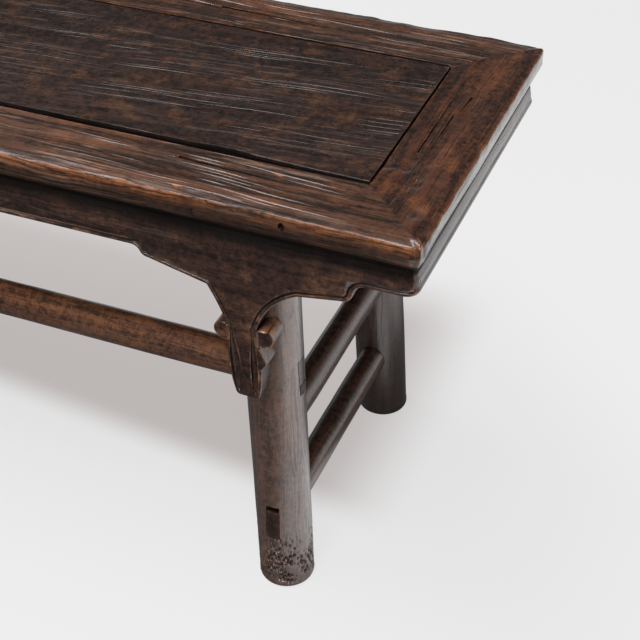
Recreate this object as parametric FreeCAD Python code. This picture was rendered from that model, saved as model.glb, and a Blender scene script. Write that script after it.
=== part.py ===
import FreeCAD, Part
import math
import os

# Wooden bench: a mitred frame with a floating panel stands on four splayed round legs.
# X runs along the bench, Y from front (negative) to back, Z up from the floor.
# All sizes are in millimetres and all angles in degrees.

Vec = FreeCAD.Vector

# Overall size
bench_length = 1200.0
bench_depth = 375.0
seat_height = 480.0

# Gap left all round a tenon, tongue or peg in its seat
joint_clearance = 0.15

# Four mitred rails of the seat frame, with a convex undercut edge
rail_width = 76.0
rail_thickness = 30.0
rail_arris_radius = 6.0
rail_undercut = 8.0

# Tenons of the long rails, hidden in the end rails
frame_tenon_width = 40.0
frame_tenon_thickness = 10.0
frame_tenon_shoulder = 5.0
frame_tenon_rise = 8.0
frame_tenon_cover = 14.0

# Floating panel, shrunk away from the front rail
panel_thickness = 15.0
panel_drop = 0.8
panel_front_gap = 3.0
panel_side_gap = 0.5
panel_tongue_length = 8.0
panel_tongue_thickness = 5.0
panel_lip = 4.2
panel_groove_depth = 9.0

# Dovetailed battens under the panel, with tenons through the long rails
batten_setback = 231.0
batten_width = 50.0
batten_thickness = 13.0
batten_dovetail_height = 4.0
batten_dovetail_neck = 32.0
batten_dovetail_crown = 38.0
batten_tenon_width = 43.0
batten_tenon_thickness = 11.0
batten_tenon_rise = 6.0

# Aprons: a cushioned face that leans out from the rail, and a tongue into its underside
apron_top_inset = 15.5
apron_inset = 8.0
apron_bulge_drop = 22.0
apron_thickness = 24.0
apron_tongue_thickness = 8.0
apron_tongue_height = 4.0
apron_tongue_setback = 6.0
apron_tongue_stop = 45.0

# Lower edge of the aprons, as drops below the rails
apron_drop = 42.3
end_apron_drop = 29.5

# Spandrel on each end of a long apron: reaches are from its own upright line, which leans
# with the leg, and drops are below the rail
spandrel_shift = 7.4
outer_step_reach = 121.0
outer_step_foot_reach = 97.0
outer_step_foot_drop = 50.0
outer_arch_reach = 57.0
outer_arch_drop = 56.5
outer_arch_mid_reach = 25.6
outer_arch_mid_drop = 82.5
inner_step_reach = 103.0
inner_step_foot_reach = 87.0
inner_step_foot_drop = 53.0
inner_cusp_reach = 28.4
inner_cusp_drop = 64.0
inner_arch_mid_reach = 19.8
inner_arch_mid_drop = 89.0
neck_half_width = 14.6
lobe_reach = 19.0
lobe_radius = 10.5
lobe_drop = 115.5
outer_barb_reach = 22.0
inner_barb_reach = 17.0
barb_drop = 143.5
waist_half_width = 16.2
waist_drop = 151.0
tip_half_width = 12.5
tip_drop = 187.0
tip_round = 5.0

# Pegs that hold the mitres of the aprons
peg_diameter = 4.0
peg_drop = 19.0
peg_inset = 20.5

# Legs: round, splayed both ways, with a tenon into the long rail
leg_diameter = 58.0
leg_setback = 149.5
leg_inset = 43.9
leg_splay_along = 2.3
leg_splay_across = 2.05
foot_bevel = 6.0
leg_tenon_width = 30.0
leg_tenon_thickness = 22.0
leg_tenon_height = 18.0
leg_tenon_cheek = 10.0

# Stretchers: oval bars, one along each side and two across each end
stretcher_height = 40.0
oval_tightness = 0.8
long_stretcher_width = 33.0
long_stretcher_level = 265.5
long_tenon_width = 12.0
long_tenon_height = 28.0
long_tenon_lift = 4.0
side_stretcher_width = 31.0
lower_side_level = 87.0
upper_side_level = 191.0
side_tenon_width = 14.0
side_tenon_height = 34.0
blind_tenon_length = 36.0

# Wedge under each tenon of a long stretcher, and the open wedge slot over a lower tenon
wedge_length = 36.0
wedge_height = 12.0
wedge_tip = 2.0
slot_depth = 30.0
slot_height = 9.0

# Places worked out from the sizes above
half_length = bench_length / 2
half_depth = bench_depth / 2
leg_radius = leg_diameter / 2
rail_underside = seat_height - rail_thickness
panel_top = seat_height - panel_drop
panel_underside = panel_top - panel_thickness
opening_half_length = half_length - rail_width
opening_half_depth = half_depth - rail_width
apron_back = apron_inset + apron_thickness
along = Vec(1, 0, 0)
across = Vec(0, 1, 0)
upward = Vec(0, 0, 1)


def block(x_range, y_range, z_range):
    """Box between three pairs of limits."""
    low = Vec(x_range[0], y_range[0], z_range[0])
    return Part.makeBox(
        x_range[1] - x_range[0], y_range[1] - y_range[0], z_range[1] - z_range[0], low
    )


def line(start, end):
    """Straight edge."""
    return Part.LineSegment(start, end).toShape()


def arc(start, middle, end):
    """Round edge through three points."""
    return Part.Arc(start, middle, end).toShape()


def arc_inset(radius):
    """How far the middle of a quarter round lies inside its square corner, along each side."""
    return radius * (1 - math.sqrt(0.5))


def ogee(start, end):
    """Two equal arcs that leave and arrive level, in an upright plane along X."""
    run = end.x - start.x
    rise = end.z - start.z
    turn = 2 * math.atan2(abs(rise), abs(run))
    radius = math.hypot(run, rise) / 4 / math.sin(turn / 2)
    side = math.copysign(radius * math.sin(turn / 2), run)
    fall = math.copysign(radius * (1 - math.cos(turn / 2)), rise)
    inflection = (start + end) * 0.5
    first = start + Vec(side, 0, fall)
    second = end - Vec(side, 0, fall)
    return [arc(start, first, inflection), arc(inflection, second, end)]


def prism(edges, direction):
    """Solid swept straight from a closed outline of edges."""
    return Part.Face(Part.Wire(edges)).extrude(direction)


def polygon_prism(points, direction):
    """Solid swept straight from a polygon."""
    return Part.Face(Part.makePolygon(points + points[:1])).extrude(direction)


def quarter_turned(shape):
    """Shape turned a quarter about the upright axis, so that its front faces the right end."""
    turned = shape.copy()
    turned.rotate(Vec(0, 0, 0), upward, 90)
    return turned


def flipped(shape, normal):
    """Mirror image of a shape through the middle of the bench."""
    return shape.mirror(Vec(0, 0, 0), normal)


def whole(half, normal):
    """A half joined to its mirror image."""
    return half.fuse(flipped(half, normal)).removeSplitter()


def swelling_arc(top, bottom):
    """Arc of a convex face in the YZ plane, upright at its foremost end."""
    front, back = sorted((top, bottom), key=lambda point: point.y)
    depth = back.y - front.y
    height = abs(back.z - front.z)
    radius = (depth ** 2 + height ** 2) / (2 * depth)
    turn = math.atan2(height, radius - depth) / 2
    sign = math.copysign(1, back.z - front.z)
    middle = front + Vec(0, radius * (1 - math.cos(turn)), sign * radius * math.sin(turn))
    return arc(top, middle, bottom)


def mitre_plan(run, half_span, width):
    """Upright prism over a bar with both ends mitred, its outer edge at Y = -half_span."""
    outer = -half_span
    inner = outer + width
    half = run / 2
    corners = [
        Vec(-half, outer, 0),
        Vec(half, outer, 0),
        Vec(half - width, inner, 0),
        Vec(width - half, inner, 0),
    ]
    return polygon_prism(corners, Vec(0, 0, seat_height))


def rail_blank(run, half_span):
    """Rail with its moulded edge at Y = -half_span, square at both ends."""
    outer = -half_span
    x = -run / 2
    crest = seat_height - rail_arris_radius
    corner = arc_inset(rail_arris_radius)
    heel = Vec(x, outer + rail_width, rail_underside)
    toe = Vec(x, outer + rail_undercut, rail_underside)
    nose = Vec(x, outer, crest)
    brow = Vec(x, outer + rail_arris_radius, seat_height)
    arris_middle = Vec(x, outer + corner, seat_height - corner)
    head = Vec(x, outer + rail_width, seat_height)
    edges = [
        line(heel, toe),
        swelling_arc(toe, nose),
        arc(nose, arris_middle, brow),
        line(brow, head),
        line(head, heel),
    ]
    return prism(edges, Vec(run, 0, 0))


def apron_bar(run, half_span, drop):
    """Apron board with its cushioned face towards -Y, square at both ends."""
    outer = -half_span
    x = -run / 2
    low = rail_underside - drop
    face = outer + apron_inset
    back = outer + apron_back
    top_front = Vec(x, outer + apron_top_inset, rail_underside)
    bulge = Vec(x, face, rail_underside - apron_bulge_drop)
    face_low = Vec(x, face, low)
    back_low = Vec(x, back, low)
    back_top = Vec(x, back, rail_underside)
    edges = [
        swelling_arc(top_front, bulge),
        line(bulge, face_low),
        line(face_low, back_low),
        line(back_low, back_top),
        line(back_top, top_front),
    ]
    return prism(edges, Vec(run, 0, 0))


def apron_tongue(run, half_span, growth):
    """Tongue on top of an apron, or with growth the groove for it."""
    front = -half_span + apron_top_inset + apron_tongue_setback
    half = run / 2 - apron_tongue_stop
    return block(
        (-half - growth, half + growth),
        (front - growth, front + apron_tongue_thickness + growth),
        (rail_underside - growth, rail_underside + apron_tongue_height + growth),
    )


def leg_point(level):
    """Point on the axis of the front right leg at a height."""
    foot = Vec(half_length - leg_setback, leg_inset - half_depth, 0)
    lean = Vec(
        -math.tan(math.radians(leg_splay_along)), math.tan(math.radians(leg_splay_across)), 1
    )
    return foot + lean * level


def leg_bar(radius):
    """Round bar on the axis of the front right leg, longer than the leg at both ends."""
    low = leg_point(-leg_diameter)
    high = leg_point(seat_height + leg_diameter)
    return Part.makeCylinder(radius, (high - low).Length, low, high - low)


def leg_body():
    """Front right leg without its joints: bevelled round the foot, cut level at both ends."""
    axis = leg_point(1) - leg_point(0)
    tilt = axis.getAngle(upward)
    low = leg_point(-leg_radius * math.sin(tilt))
    bar = Part.makeCylinder(leg_radius, seat_height, low, axis)
    foot_edge = min(bar.Edges, key=lambda edge: edge.BoundBox.ZMax)
    bar = bar.makeChamfer(foot_bevel, [foot_edge])
    return bar.common(block((0, bench_length), (-bench_length, 0), (0, rail_underside)))


def spandrel_point(reach, drop):
    """Point of the spandrel's outline on the front edge plane of the bench."""
    level = rail_underside - drop
    return Vec(leg_point(level).x - spandrel_shift + reach, -half_depth, level)


def tongue_side(side, barb_reach):
    """Edges of one side of the hanging tongue, from its neck down to its tip."""
    overlap = math.sqrt(lobe_radius ** 2 - (lobe_reach - neck_half_width) ** 2)
    neck_top = spandrel_point(side * neck_half_width, lobe_drop - overlap)
    lobe_tip = spandrel_point(side * (lobe_reach + lobe_radius), lobe_drop)
    neck_low = spandrel_point(side * neck_half_width, lobe_drop + overlap)
    barb = spandrel_point(side * barb_reach, barb_drop)
    waist = spandrel_point(side * waist_half_width, waist_drop)
    corner_top = spandrel_point(side * tip_half_width, tip_drop - tip_round)
    taper_drop = (waist_drop + tip_drop - tip_round) / 2
    taper_reach = (waist_half_width + tip_half_width) / 2 + (waist_half_width - tip_half_width) / 4
    taper = spandrel_point(side * taper_reach, taper_drop)
    corner = arc_inset(tip_round)
    corner_middle = spandrel_point(side * (tip_half_width - corner), tip_drop - corner)
    corner_low = spandrel_point(side * (tip_half_width - tip_round), tip_drop)
    edges = [
        arc(neck_top, lobe_tip, neck_low),
        line(neck_low, barb),
        line(barb, waist),
        arc(waist, taper, corner_top),
        arc(corner_top, corner_middle, corner_low),
    ]
    return neck_top, edges, corner_low


def apron_outline():
    """Edges of the right half of a long apron, seen from the front."""
    front = -half_depth
    top_middle = Vec(0, front, rail_underside)
    top_end = Vec(half_length, front, rail_underside)
    low_end = Vec(half_length, front, rail_underside - end_apron_drop)
    outer_step = spandrel_point(outer_step_reach, end_apron_drop)
    outer_foot = spandrel_point(outer_step_foot_reach, outer_step_foot_drop)
    outer_arch = spandrel_point(outer_arch_reach, outer_arch_drop)
    outer_mid = spandrel_point(outer_arch_mid_reach, outer_arch_mid_drop)
    outer_neck, outer_edges, outer_tip = tongue_side(1, outer_barb_reach)
    inner_neck, inner_edges, inner_tip = tongue_side(-1, inner_barb_reach)
    inner_mid = spandrel_point(-inner_arch_mid_reach, inner_arch_mid_drop)
    cusp = spandrel_point(-inner_cusp_reach, inner_cusp_drop)
    inner_foot = spandrel_point(-inner_step_foot_reach, inner_step_foot_drop)
    inner_step = spandrel_point(-inner_step_reach, apron_drop)
    low_middle = Vec(0, front, rail_underside - apron_drop)
    edges = [line(top_middle, top_end), line(top_end, low_end), line(low_end, outer_step)]
    edges += ogee(outer_step, outer_foot)
    edges += [line(outer_foot, outer_arch), arc(outer_arch, outer_mid, outer_neck)]
    edges += outer_edges
    edges += [line(outer_tip, inner_tip)]
    edges += inner_edges[::-1]
    edges += [arc(inner_neck, inner_mid, cusp), line(cusp, inner_foot)]
    edges += ogee(inner_foot, inner_step)
    edges += [line(inner_step, low_middle), line(low_middle, top_middle)]
    return Part.Wire(Part.__sortEdges__(edges))


def peg(growth):
    """Peg through the front right mitre of the aprons, or with growth the hole for it."""
    start = Vec(half_length, peg_inset - half_depth, rail_underside - peg_drop)
    rod = Part.makeCylinder(peg_diameter / 2 + growth, apron_back, start, -along)
    board = quarter_turned(apron_bar(bench_depth, half_length, end_apron_drop))
    return rod.common(board) if growth == 0 else rod


def long_apron():
    """Front apron with a spandrel over each leg."""
    reach = Vec(0, 2 * apron_back, 0)
    half = Part.Face(apron_outline()).extrude(reach)
    board = apron_bar(bench_length, half_depth, tip_drop)
    board = board.common(mitre_plan(bench_length, half_depth, apron_back))
    half = half.common(board).cut(peg(joint_clearance))
    return whole(half, along).fuse(apron_tongue(bench_length, half_depth, 0)).removeSplitter()


def end_apron():
    """Plain apron across the right end."""
    board = apron_bar(bench_depth, half_length, end_apron_drop)
    board = board.common(mitre_plan(bench_depth, half_length, apron_back))
    board = board.fuse(apron_tongue(bench_depth, half_length, 0)).removeSplitter()
    hole = peg(joint_clearance)
    return quarter_turned(board).cut(hole).cut(flipped(hole, across))


def spandrel_seat():
    """Room for the back of the right spandrel in the leg behind it."""
    outline = Part.Face(apron_outline()).makeOffset2D(joint_clearance)
    return outline.extrude(Vec(0, apron_back + joint_clearance, 0))


def frame_tenon(growth):
    """Tenon on the right end of the front rail, or with growth its mortise."""
    inner = -opening_half_depth - frame_tenon_shoulder
    low = rail_underside + frame_tenon_rise
    return block(
        (opening_half_length, half_length - frame_tenon_cover + growth),
        (inner - frame_tenon_width - growth, inner + growth),
        (low - growth, low + frame_tenon_thickness + growth),
    )


def panel_tongue():
    """Tongue all round the panel."""
    top = panel_top - panel_lip
    reach = panel_tongue_length - panel_side_gap
    return block(
        (-opening_half_length - reach, opening_half_length + reach),
        (panel_front_gap - opening_half_depth - panel_tongue_length, opening_half_depth + reach),
        (top - panel_tongue_thickness, top),
    )


def panel_groove():
    """Groove round the inside of the frame for the panel's tongue."""
    top = panel_top - panel_lip + joint_clearance
    reach_x = opening_half_length + panel_groove_depth
    reach_y = opening_half_depth + panel_groove_depth
    depth = panel_tongue_thickness + 2 * joint_clearance
    return block((-reach_x, reach_x), (-reach_y, reach_y), (top - depth, top))


def batten_dovetail(growth):
    """Dovetail along the top of a batten, or with growth the slot for it in the panel."""
    neck = batten_dovetail_neck / 2 + growth
    crown = batten_dovetail_crown / 2 + growth
    start = -opening_half_depth
    low = panel_underside
    high = panel_underside + batten_dovetail_height + growth
    corners = [
        Vec(-neck, start, low),
        Vec(neck, start, low),
        Vec(crown, start, high),
        Vec(-crown, start, high),
    ]
    return polygon_prism(corners, Vec(0, -2 * start, 0))


def batten_tenon(growth):
    """Tenon at both ends of a batten as one bar, or with growth the mortises for it."""
    half_width = batten_tenon_width / 2 + growth
    low = rail_underside + batten_tenon_rise
    return block(
        (-half_width, half_width),
        (-half_depth, half_depth),
        (low - growth, low + batten_tenon_thickness + growth),
    )


def batten():
    """Middle batten, its shoulders against the long rails and its tenons flush with them."""
    half_width = batten_width / 2
    shoulder = opening_half_depth
    body = block(
        (-half_width, half_width),
        (-shoulder, shoulder),
        (panel_underside - batten_thickness, panel_underside),
    )
    blank = rail_blank(bench_length, half_depth)
    tenons = batten_tenon(0).common(blank.fuse(flipped(blank, across)))
    return body.fuse(batten_dovetail(0)).fuse(tenons).removeSplitter()


def batten_places():
    """Name and place along X of each batten."""
    batten_pitch = bench_length / 2 - batten_setback
    return {"left": -batten_pitch, "centre": 0.0, "right": batten_pitch}


def moved_along(shape, distance):
    """Copy of a shape moved along the bench."""
    return shape.translated(along * distance)


def leg_tenon(growth):
    """Tenon on top of the front right leg, or with growth its mortise in the rail."""
    centre = leg_point(rail_underside).x
    inner = -opening_half_depth - leg_tenon_cheek
    half_width = leg_tenon_width / 2 + growth
    return block(
        (centre - half_width, centre + half_width),
        (inner - leg_tenon_thickness - growth, inner + growth),
        (rail_underside - leg_tenon_height, rail_underside + leg_tenon_height + growth),
    )


def long_tenon(growth):
    """Tenon of the front stretcher through the right leg, or with growth its mortise."""
    axis = leg_point(long_stretcher_level)
    half_width = long_tenon_width / 2 + growth
    half_height = long_tenon_height / 2 + growth
    level = long_stretcher_level + long_tenon_lift
    return block(
        (axis.x - leg_diameter, axis.x + leg_diameter),
        (axis.y - half_width, axis.y + half_width),
        (level - half_height, level + half_height),
    )


def wedge(growth):
    """Wedge under the tenon of the front stretcher, or with growth the room for it."""
    axis = leg_point(long_stretcher_level)
    outer = axis.x + leg_radius
    inner = outer - wedge_length - growth
    top = long_stretcher_level + long_tenon_lift - long_tenon_height / 2
    start = axis.y - long_tenon_width / 2 - growth
    corners = [
        Vec(inner, start, top),
        Vec(outer, start, top),
        Vec(outer, start, top - wedge_height - growth),
        Vec(inner, start, top - wedge_tip - growth),
    ]
    return polygon_prism(corners, Vec(0, long_tenon_width + 2 * growth, 0))


def side_tenon(level, growth):
    """Tenon of a right side stretcher through the front leg, or with growth its mortise."""
    axis = leg_point(level)
    half_width = side_tenon_width / 2 + growth
    half_height = side_tenon_height / 2 + growth
    return block(
        (axis.x - half_width, axis.x + half_width),
        (axis.y - leg_diameter, axis.y + leg_diameter),
        (level - half_height, level + half_height),
    )


def blind_limit(level, growth):
    """Part of the front right leg that a blind side tenon may reach."""
    axis = leg_point(level)
    limit = axis.y + leg_radius - blind_tenon_length - growth
    return block(
        (axis.x - leg_diameter, axis.x + leg_diameter),
        (limit, 0),
        (level - side_tenon_height, level + side_tenon_height),
    )


def wedge_slot():
    """Empty wedge slot over the lower side tenon, open at the front of the leg."""
    axis = leg_point(lower_side_level)
    outer = axis.y - leg_radius
    top = lower_side_level + side_tenon_height / 2
    start = axis.x - side_tenon_width / 2
    corners = [
        Vec(start, outer, top),
        Vec(start, outer, top + slot_height),
        Vec(start, outer + slot_depth, top),
    ]
    return polygon_prism(corners, Vec(side_tenon_width, 0, 0))


def leg():
    """Front right leg with its tenon, mortises and the seat for the spandrel."""
    tenon = leg_tenon(0).common(
        block((0, bench_length), (-bench_length, 0), (rail_underside, seat_height))
    )
    body = leg_body().fuse(tenon).removeSplitter()
    body = body.cut(spandrel_seat())
    body = body.cut(long_tenon(joint_clearance)).cut(wedge(joint_clearance))
    body = body.cut(side_tenon(lower_side_level, joint_clearance)).cut(wedge_slot())
    blind = side_tenon(upper_side_level, joint_clearance)
    return body.cut(blind.common(blind_limit(upper_side_level, joint_clearance)))


def oval_bar(start, end, side, half_width):
    """Oval bar of four tangent arcs from one point to another; side is across its width."""
    half_height = stretcher_height / 2
    spans = sorted(((half_height, upward), (half_width, side)), key=lambda span: -span[0])
    (long_half, long_way), (short_half, short_way) = spans
    tight = oval_tightness * short_half
    flat = (short_half ** 2 + long_half ** 2 - 2 * long_half * tight) / (2 * (short_half - tight))
    lean = math.atan2(long_half - tight, flat - short_half)
    meet_short = short_half - flat * (1 - math.cos(lean))
    meet_long = flat * math.sin(lean)

    def spot(short_share, long_share):
        return start + short_way * short_share + long_way * long_share

    edges = []
    for sign in (1, -1):
        edges.append(
            arc(
                spot(sign * meet_short, -sign * meet_long),
                spot(sign * short_half, 0),
                spot(sign * meet_short, sign * meet_long),
            )
        )
        edges.append(
            arc(
                spot(sign * meet_short, sign * meet_long),
                spot(0, sign * long_half),
                spot(-sign * meet_short, sign * meet_long),
            )
        )
    return prism(edges, end - start)


def long_stretcher():
    """Front stretcher, coped to the legs, with a tenon through each."""
    axis = leg_point(long_stretcher_level)
    middle = Vec(0, axis.y, axis.z)
    bar = oval_bar(middle, axis, across, long_stretcher_width / 2)
    bar = bar.cut(leg_bar(leg_radius + joint_clearance))
    inner_side = block((0, axis.x), (-bench_length, bench_length), (0, seat_height))
    tenon = long_tenon(0).common(leg_bar(leg_radius).fuse(inner_side))
    return whole(bar.fuse(tenon), along)


def side_stretcher(level, limit):
    """Right side stretcher, coped to the legs, with a tenon into each."""
    axis = leg_point(level)
    middle = Vec(axis.x, 0, axis.z)
    bar = oval_bar(middle, axis, along, side_stretcher_width / 2)
    bar = bar.cut(leg_bar(leg_radius + joint_clearance))
    inner_side = block((-bench_length, bench_length), (axis.y, 0), (0, seat_height))
    tenon = side_tenon(level, 0).common(leg_bar(leg_radius).fuse(inner_side))
    tenon = tenon.common(limit) if limit else tenon
    return whole(bar.fuse(tenon), across)


def long_rail():
    """Front rail with its tenons, grooves and mortises."""
    rail = rail_blank(bench_length, half_depth)
    rail = rail.common(mitre_plan(bench_length, half_depth, rail_width))
    rail = rail.cut(panel_groove()).cut(apron_tongue(bench_length, half_depth, joint_clearance))
    rail = rail.fuse(frame_tenon(0)).fuse(flipped(frame_tenon(0), along)).removeSplitter()
    mortise = leg_tenon(joint_clearance)
    rail = rail.cut(mortise).cut(flipped(mortise, along))
    for place in batten_places().values():
        rail = rail.cut(moved_along(batten_tenon(joint_clearance), place))
    return rail


def end_rail():
    """Right rail with its grooves and blind mortises."""
    rail = rail_blank(bench_depth, half_length)
    rail = rail.common(mitre_plan(bench_depth, half_length, rail_width))
    rail = rail.cut(apron_tongue(bench_depth, half_length, joint_clearance))
    rail = quarter_turned(rail).cut(panel_groove())
    mortise = frame_tenon(joint_clearance)
    return rail.cut(mortise).cut(flipped(mortise, across))


def panel():
    """Floating panel with its tongue and the slots for the battens."""
    reach_x = opening_half_length - panel_side_gap
    body = block(
        (-reach_x, reach_x),
        (panel_front_gap - opening_half_depth, opening_half_depth - panel_side_gap),
        (panel_underside, panel_top),
    )
    board = body.fuse(panel_tongue()).removeSplitter()
    for place in batten_places().values():
        board = board.cut(moved_along(batten_dovetail(joint_clearance), place))
    return board


def four_corners(shape):
    """Front right piece and its three mirror images, by the names of their corners."""
    back = flipped(shape, across)
    return {
        "front_right": shape,
        "front_left": flipped(shape, along),
        "back_right": back,
        "back_left": flipped(back, along),
    }


def pieces():
    """Every piece of the bench by name."""
    nodes = {"top_panel": panel()}
    for name, shape in (("top_rail", long_rail()), ("apron", long_apron())):
        nodes[name + "_front"] = shape
        nodes[name + "_back"] = flipped(shape, across)
    for name, shape in (("top_rail", end_rail()), ("apron", end_apron())):
        nodes[name + "_right"] = shape
        nodes[name + "_left"] = flipped(shape, along)
    for side, place in batten_places().items():
        nodes["panel_batten_" + side] = moved_along(batten(), place)
    for corner, shape in four_corners(leg()).items():
        nodes["leg_" + corner] = shape
    front_bar = long_stretcher()
    nodes["stretcher_front"] = front_bar
    nodes["stretcher_back"] = flipped(front_bar, across)
    side_bars = {
        "lower": side_stretcher(lower_side_level, None),
        "upper": side_stretcher(upper_side_level, blind_limit(upper_side_level, 0)),
    }
    for height, shape in side_bars.items():
        nodes["side_stretcher_right_" + height] = shape
        nodes["side_stretcher_left_" + height] = flipped(shape, along)
    wedge_block = wedge(0).common(leg_bar(leg_radius))
    nodes["stretcher_wedges"] = Part.makeCompound(list(four_corners(wedge_block).values()))
    nodes["apron_pegs"] = Part.makeCompound(list(four_corners(peg(0)).values()))
    return nodes


os.makedirs("parts", exist_ok=True)
for node_name, node_shape in pieces().items():
    node_shape.exportStep("parts/" + node_name + ".step")
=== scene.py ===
"""Dresses the wooden bench: worn lacquered seat frame, panel, carved aprons, legs and stretchers."""

import logging
import math
import random
from dataclasses import dataclass
from enum import Enum
from typing import Any, Callable, Optional, Sequence

import bpy
from mathutils import Matrix, Vector, noise


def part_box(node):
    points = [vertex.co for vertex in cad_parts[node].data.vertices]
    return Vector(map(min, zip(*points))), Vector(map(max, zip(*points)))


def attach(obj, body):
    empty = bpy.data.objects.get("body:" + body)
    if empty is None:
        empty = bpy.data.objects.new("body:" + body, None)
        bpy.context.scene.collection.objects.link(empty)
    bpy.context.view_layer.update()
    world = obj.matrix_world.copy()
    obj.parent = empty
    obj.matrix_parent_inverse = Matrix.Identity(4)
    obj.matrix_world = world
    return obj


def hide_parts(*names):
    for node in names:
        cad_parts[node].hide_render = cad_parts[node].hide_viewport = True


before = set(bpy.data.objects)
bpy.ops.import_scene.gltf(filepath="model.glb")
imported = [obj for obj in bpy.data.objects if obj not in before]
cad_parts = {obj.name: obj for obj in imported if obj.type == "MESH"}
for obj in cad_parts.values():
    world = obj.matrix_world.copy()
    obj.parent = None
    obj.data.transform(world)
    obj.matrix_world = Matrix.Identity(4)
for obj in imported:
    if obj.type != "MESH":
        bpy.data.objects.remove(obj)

Colour = tuple[float, float, float, float]
Zone = Callable[[Vector], float]
Stroke = tuple[Vector, Optional[Vector]]
Piece = bpy.types.Object
Socket = bpy.types.NodeSocket
Sockets = bpy.types.bpy_prop_collection
Coats = dict[str, bpy.types.Material]

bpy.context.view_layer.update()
BLACK: Colour = (0.004, 0.003, 0.0025, 1.0)
PEG_OFFSET = 0.167
log = logging.getLogger("bench")

ALONG = Vector((1.0, 0.0, 0.0))
ACROSS = Vector((0.0, 1.0, 0.0))
UP = Vector((0.0, 0.0, 1.0))


class Pattern(Enum):
    """Patterns that weathering follows."""

    CLOUDS = "CLOUDS"
    PITS = "VORONOI"


class GrainRun(Enum):
    """Way the grain runs, as the turn that brings it onto the first axis."""

    ALONG = (0.0, 0.0, 0.0)
    ACROSS = (0.0, 0.0, -math.pi / 2)
    UPRIGHT = (0.0, math.pi / 2, 0.0)


class Level(float, Enum):
    """Heights that several pieces share, in metres above the floor."""

    SEAT = 0.480
    RAIL_UNDERSIDE = 0.450
    PEG = 0.431
    LONG_STRETCHER = 0.2655
    LOWER_SIDE = 0.087
    UPPER_SIDE = 0.191


@dataclass(frozen=True)
class Relief:
    """Weathering cut into a surface.

    Attributes:
        size: Size of one feature along each axis, in metres.
        depth: Greatest depth, in metres; nothing is raised.
        pattern: Pattern that the weathering follows.
        hollow: Value of the pattern at which the wear is deepest.
        plateau: Value of the pattern from which nothing is worn.
        sinks: Lowers the points instead of wearing along their normals.
    """

    size: tuple[float, float, float]
    depth: float
    pattern: Pattern = Pattern.CLOUDS
    hollow: float = 0.0
    plateau: float = 1.0
    sinks: bool = False


def take(piece: Piece) -> None:
    """Selects only this piece and makes it active."""
    bpy.ops.object.select_all(action="DESELECT")
    piece.select_set(True)
    bpy.context.view_layer.objects.active = piece


def settle(piece: Piece) -> None:
    """Puts the piece's place, turn and scale into its mesh."""
    take(piece)
    bpy.ops.object.transform_apply(location=True, rotation=True, scale=True)


def fresh(name: str) -> Piece:
    """Names the shape that was just added, settles it and gives it."""
    piece = bpy.context.object
    piece.name = name
    settle(piece)
    return piece


def block(name: str, low: Vector, high: Vector) -> Piece:
    """Adds a box between its lowest and its highest corner."""
    bpy.ops.mesh.primitive_cube_add(size=1.0, location=(low + high) / 2, scale=high - low)
    return fresh(name)


def rod(name: str, start: Vector, end: Vector, radius: float, sides: int) -> Piece:
    """Adds a round bar from the middle of one end to the middle of the other."""
    axis = end - start
    turn = axis.to_track_quat("Z", "Y").to_euler()
    bpy.ops.mesh.primitive_cylinder_add(
        vertices=sides, radius=radius, depth=axis.length, location=(start + end) / 2, rotation=turn
    )
    return fresh(name)


def round_plan(piece: Piece, half_x: float, half_y: float, radius: float) -> None:
    """Rounds the outer corners of a mitred piece in plan, its mouldings with them.

    Args:
        piece: Piece whose points are moved.
        half_x: Half of the length over the outer faces.
        half_y: Half of the depth over the outer faces.
        radius: Radius of the corners.
    """
    for spot in piece.data.vertices:
        along = radius - half_x + abs(spot.co.x)
        across = radius - half_y + abs(spot.co.y)
        if along > 0 and across > 0:
            share = max(along, across) / math.hypot(along, across)
            spot.co.x -= math.copysign(along * (1 - share), spot.co.x)
            spot.co.y -= math.copysign(across * (1 - share), spot.co.y)


def dent(piece: Piece, centre: Vector, size: Vector) -> None:
    """Presses a shallow bowl into a piece, as at a knot."""
    bpy.ops.mesh.primitive_uv_sphere_add(
        segments=20, ring_count=12, radius=0.5, location=centre, scale=size
    )
    cut(piece, fresh("dent"))


def enter() -> None:
    """Enters edit mode."""
    bpy.ops.object.mode_set(mode="EDIT")


def leave() -> None:
    """Leaves edit mode."""
    bpy.ops.object.mode_set(mode="OBJECT")


def pick_none(piece: Piece, kind: str) -> None:
    """Takes a piece with none of its parts of a kind (VERT, EDGE or FACE) selected."""
    take(piece)
    enter()
    bpy.ops.mesh.select_mode(type=kind)
    bpy.ops.mesh.select_all(action="DESELECT")
    leave()


def pick_all(piece: Piece) -> None:
    """Enters edit mode with the whole piece selected."""
    take(piece)
    enter()
    bpy.ops.mesh.select_all(action="SELECT")


def pick_edges(piece: Piece, wanted: Callable[[Vector, Vector], bool]) -> None:
    """Enters edit mode with the wanted edges selected, told by their two ends."""
    pick_none(piece, "EDGE")
    points = piece.data.vertices
    for edge in piece.data.edges:
        first, second = edge.vertices
        edge.select = wanted(points[first].co, points[second].co)
    enter()


def pick_faces(piece: Piece, wanted: Callable[[Vector, Vector], bool]) -> None:
    """Enters edit mode with the wanted faces selected, told by centre and normal."""
    pick_none(piece, "FACE")
    for face in piece.data.polygons:
        face.select = wanted(face.center, face.normal)
    enter()


def divide(piece: Piece, axis: Vector, cuts: Sequence[int], least: float = 0.0) -> None:
    """Divides the edges that run along an axis.

    Args:
        piece: Piece to divide.
        axis: Direction of the edges.
        cuts: Number of cuts of each round.
        least: Shortest edge that is divided in the first round.
    """

    def runs_along(first: Vector, second: Vector) -> bool:
        """Says whether an edge is to be divided."""
        span = second - first
        return span.length > least and abs(span.normalized().dot(axis)) > 0.95

    for count in cuts:
        pick_edges(piece, runs_along)
        bpy.ops.mesh.subdivide(number_cuts=count)
        leave()
        least /= count + 1


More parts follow.
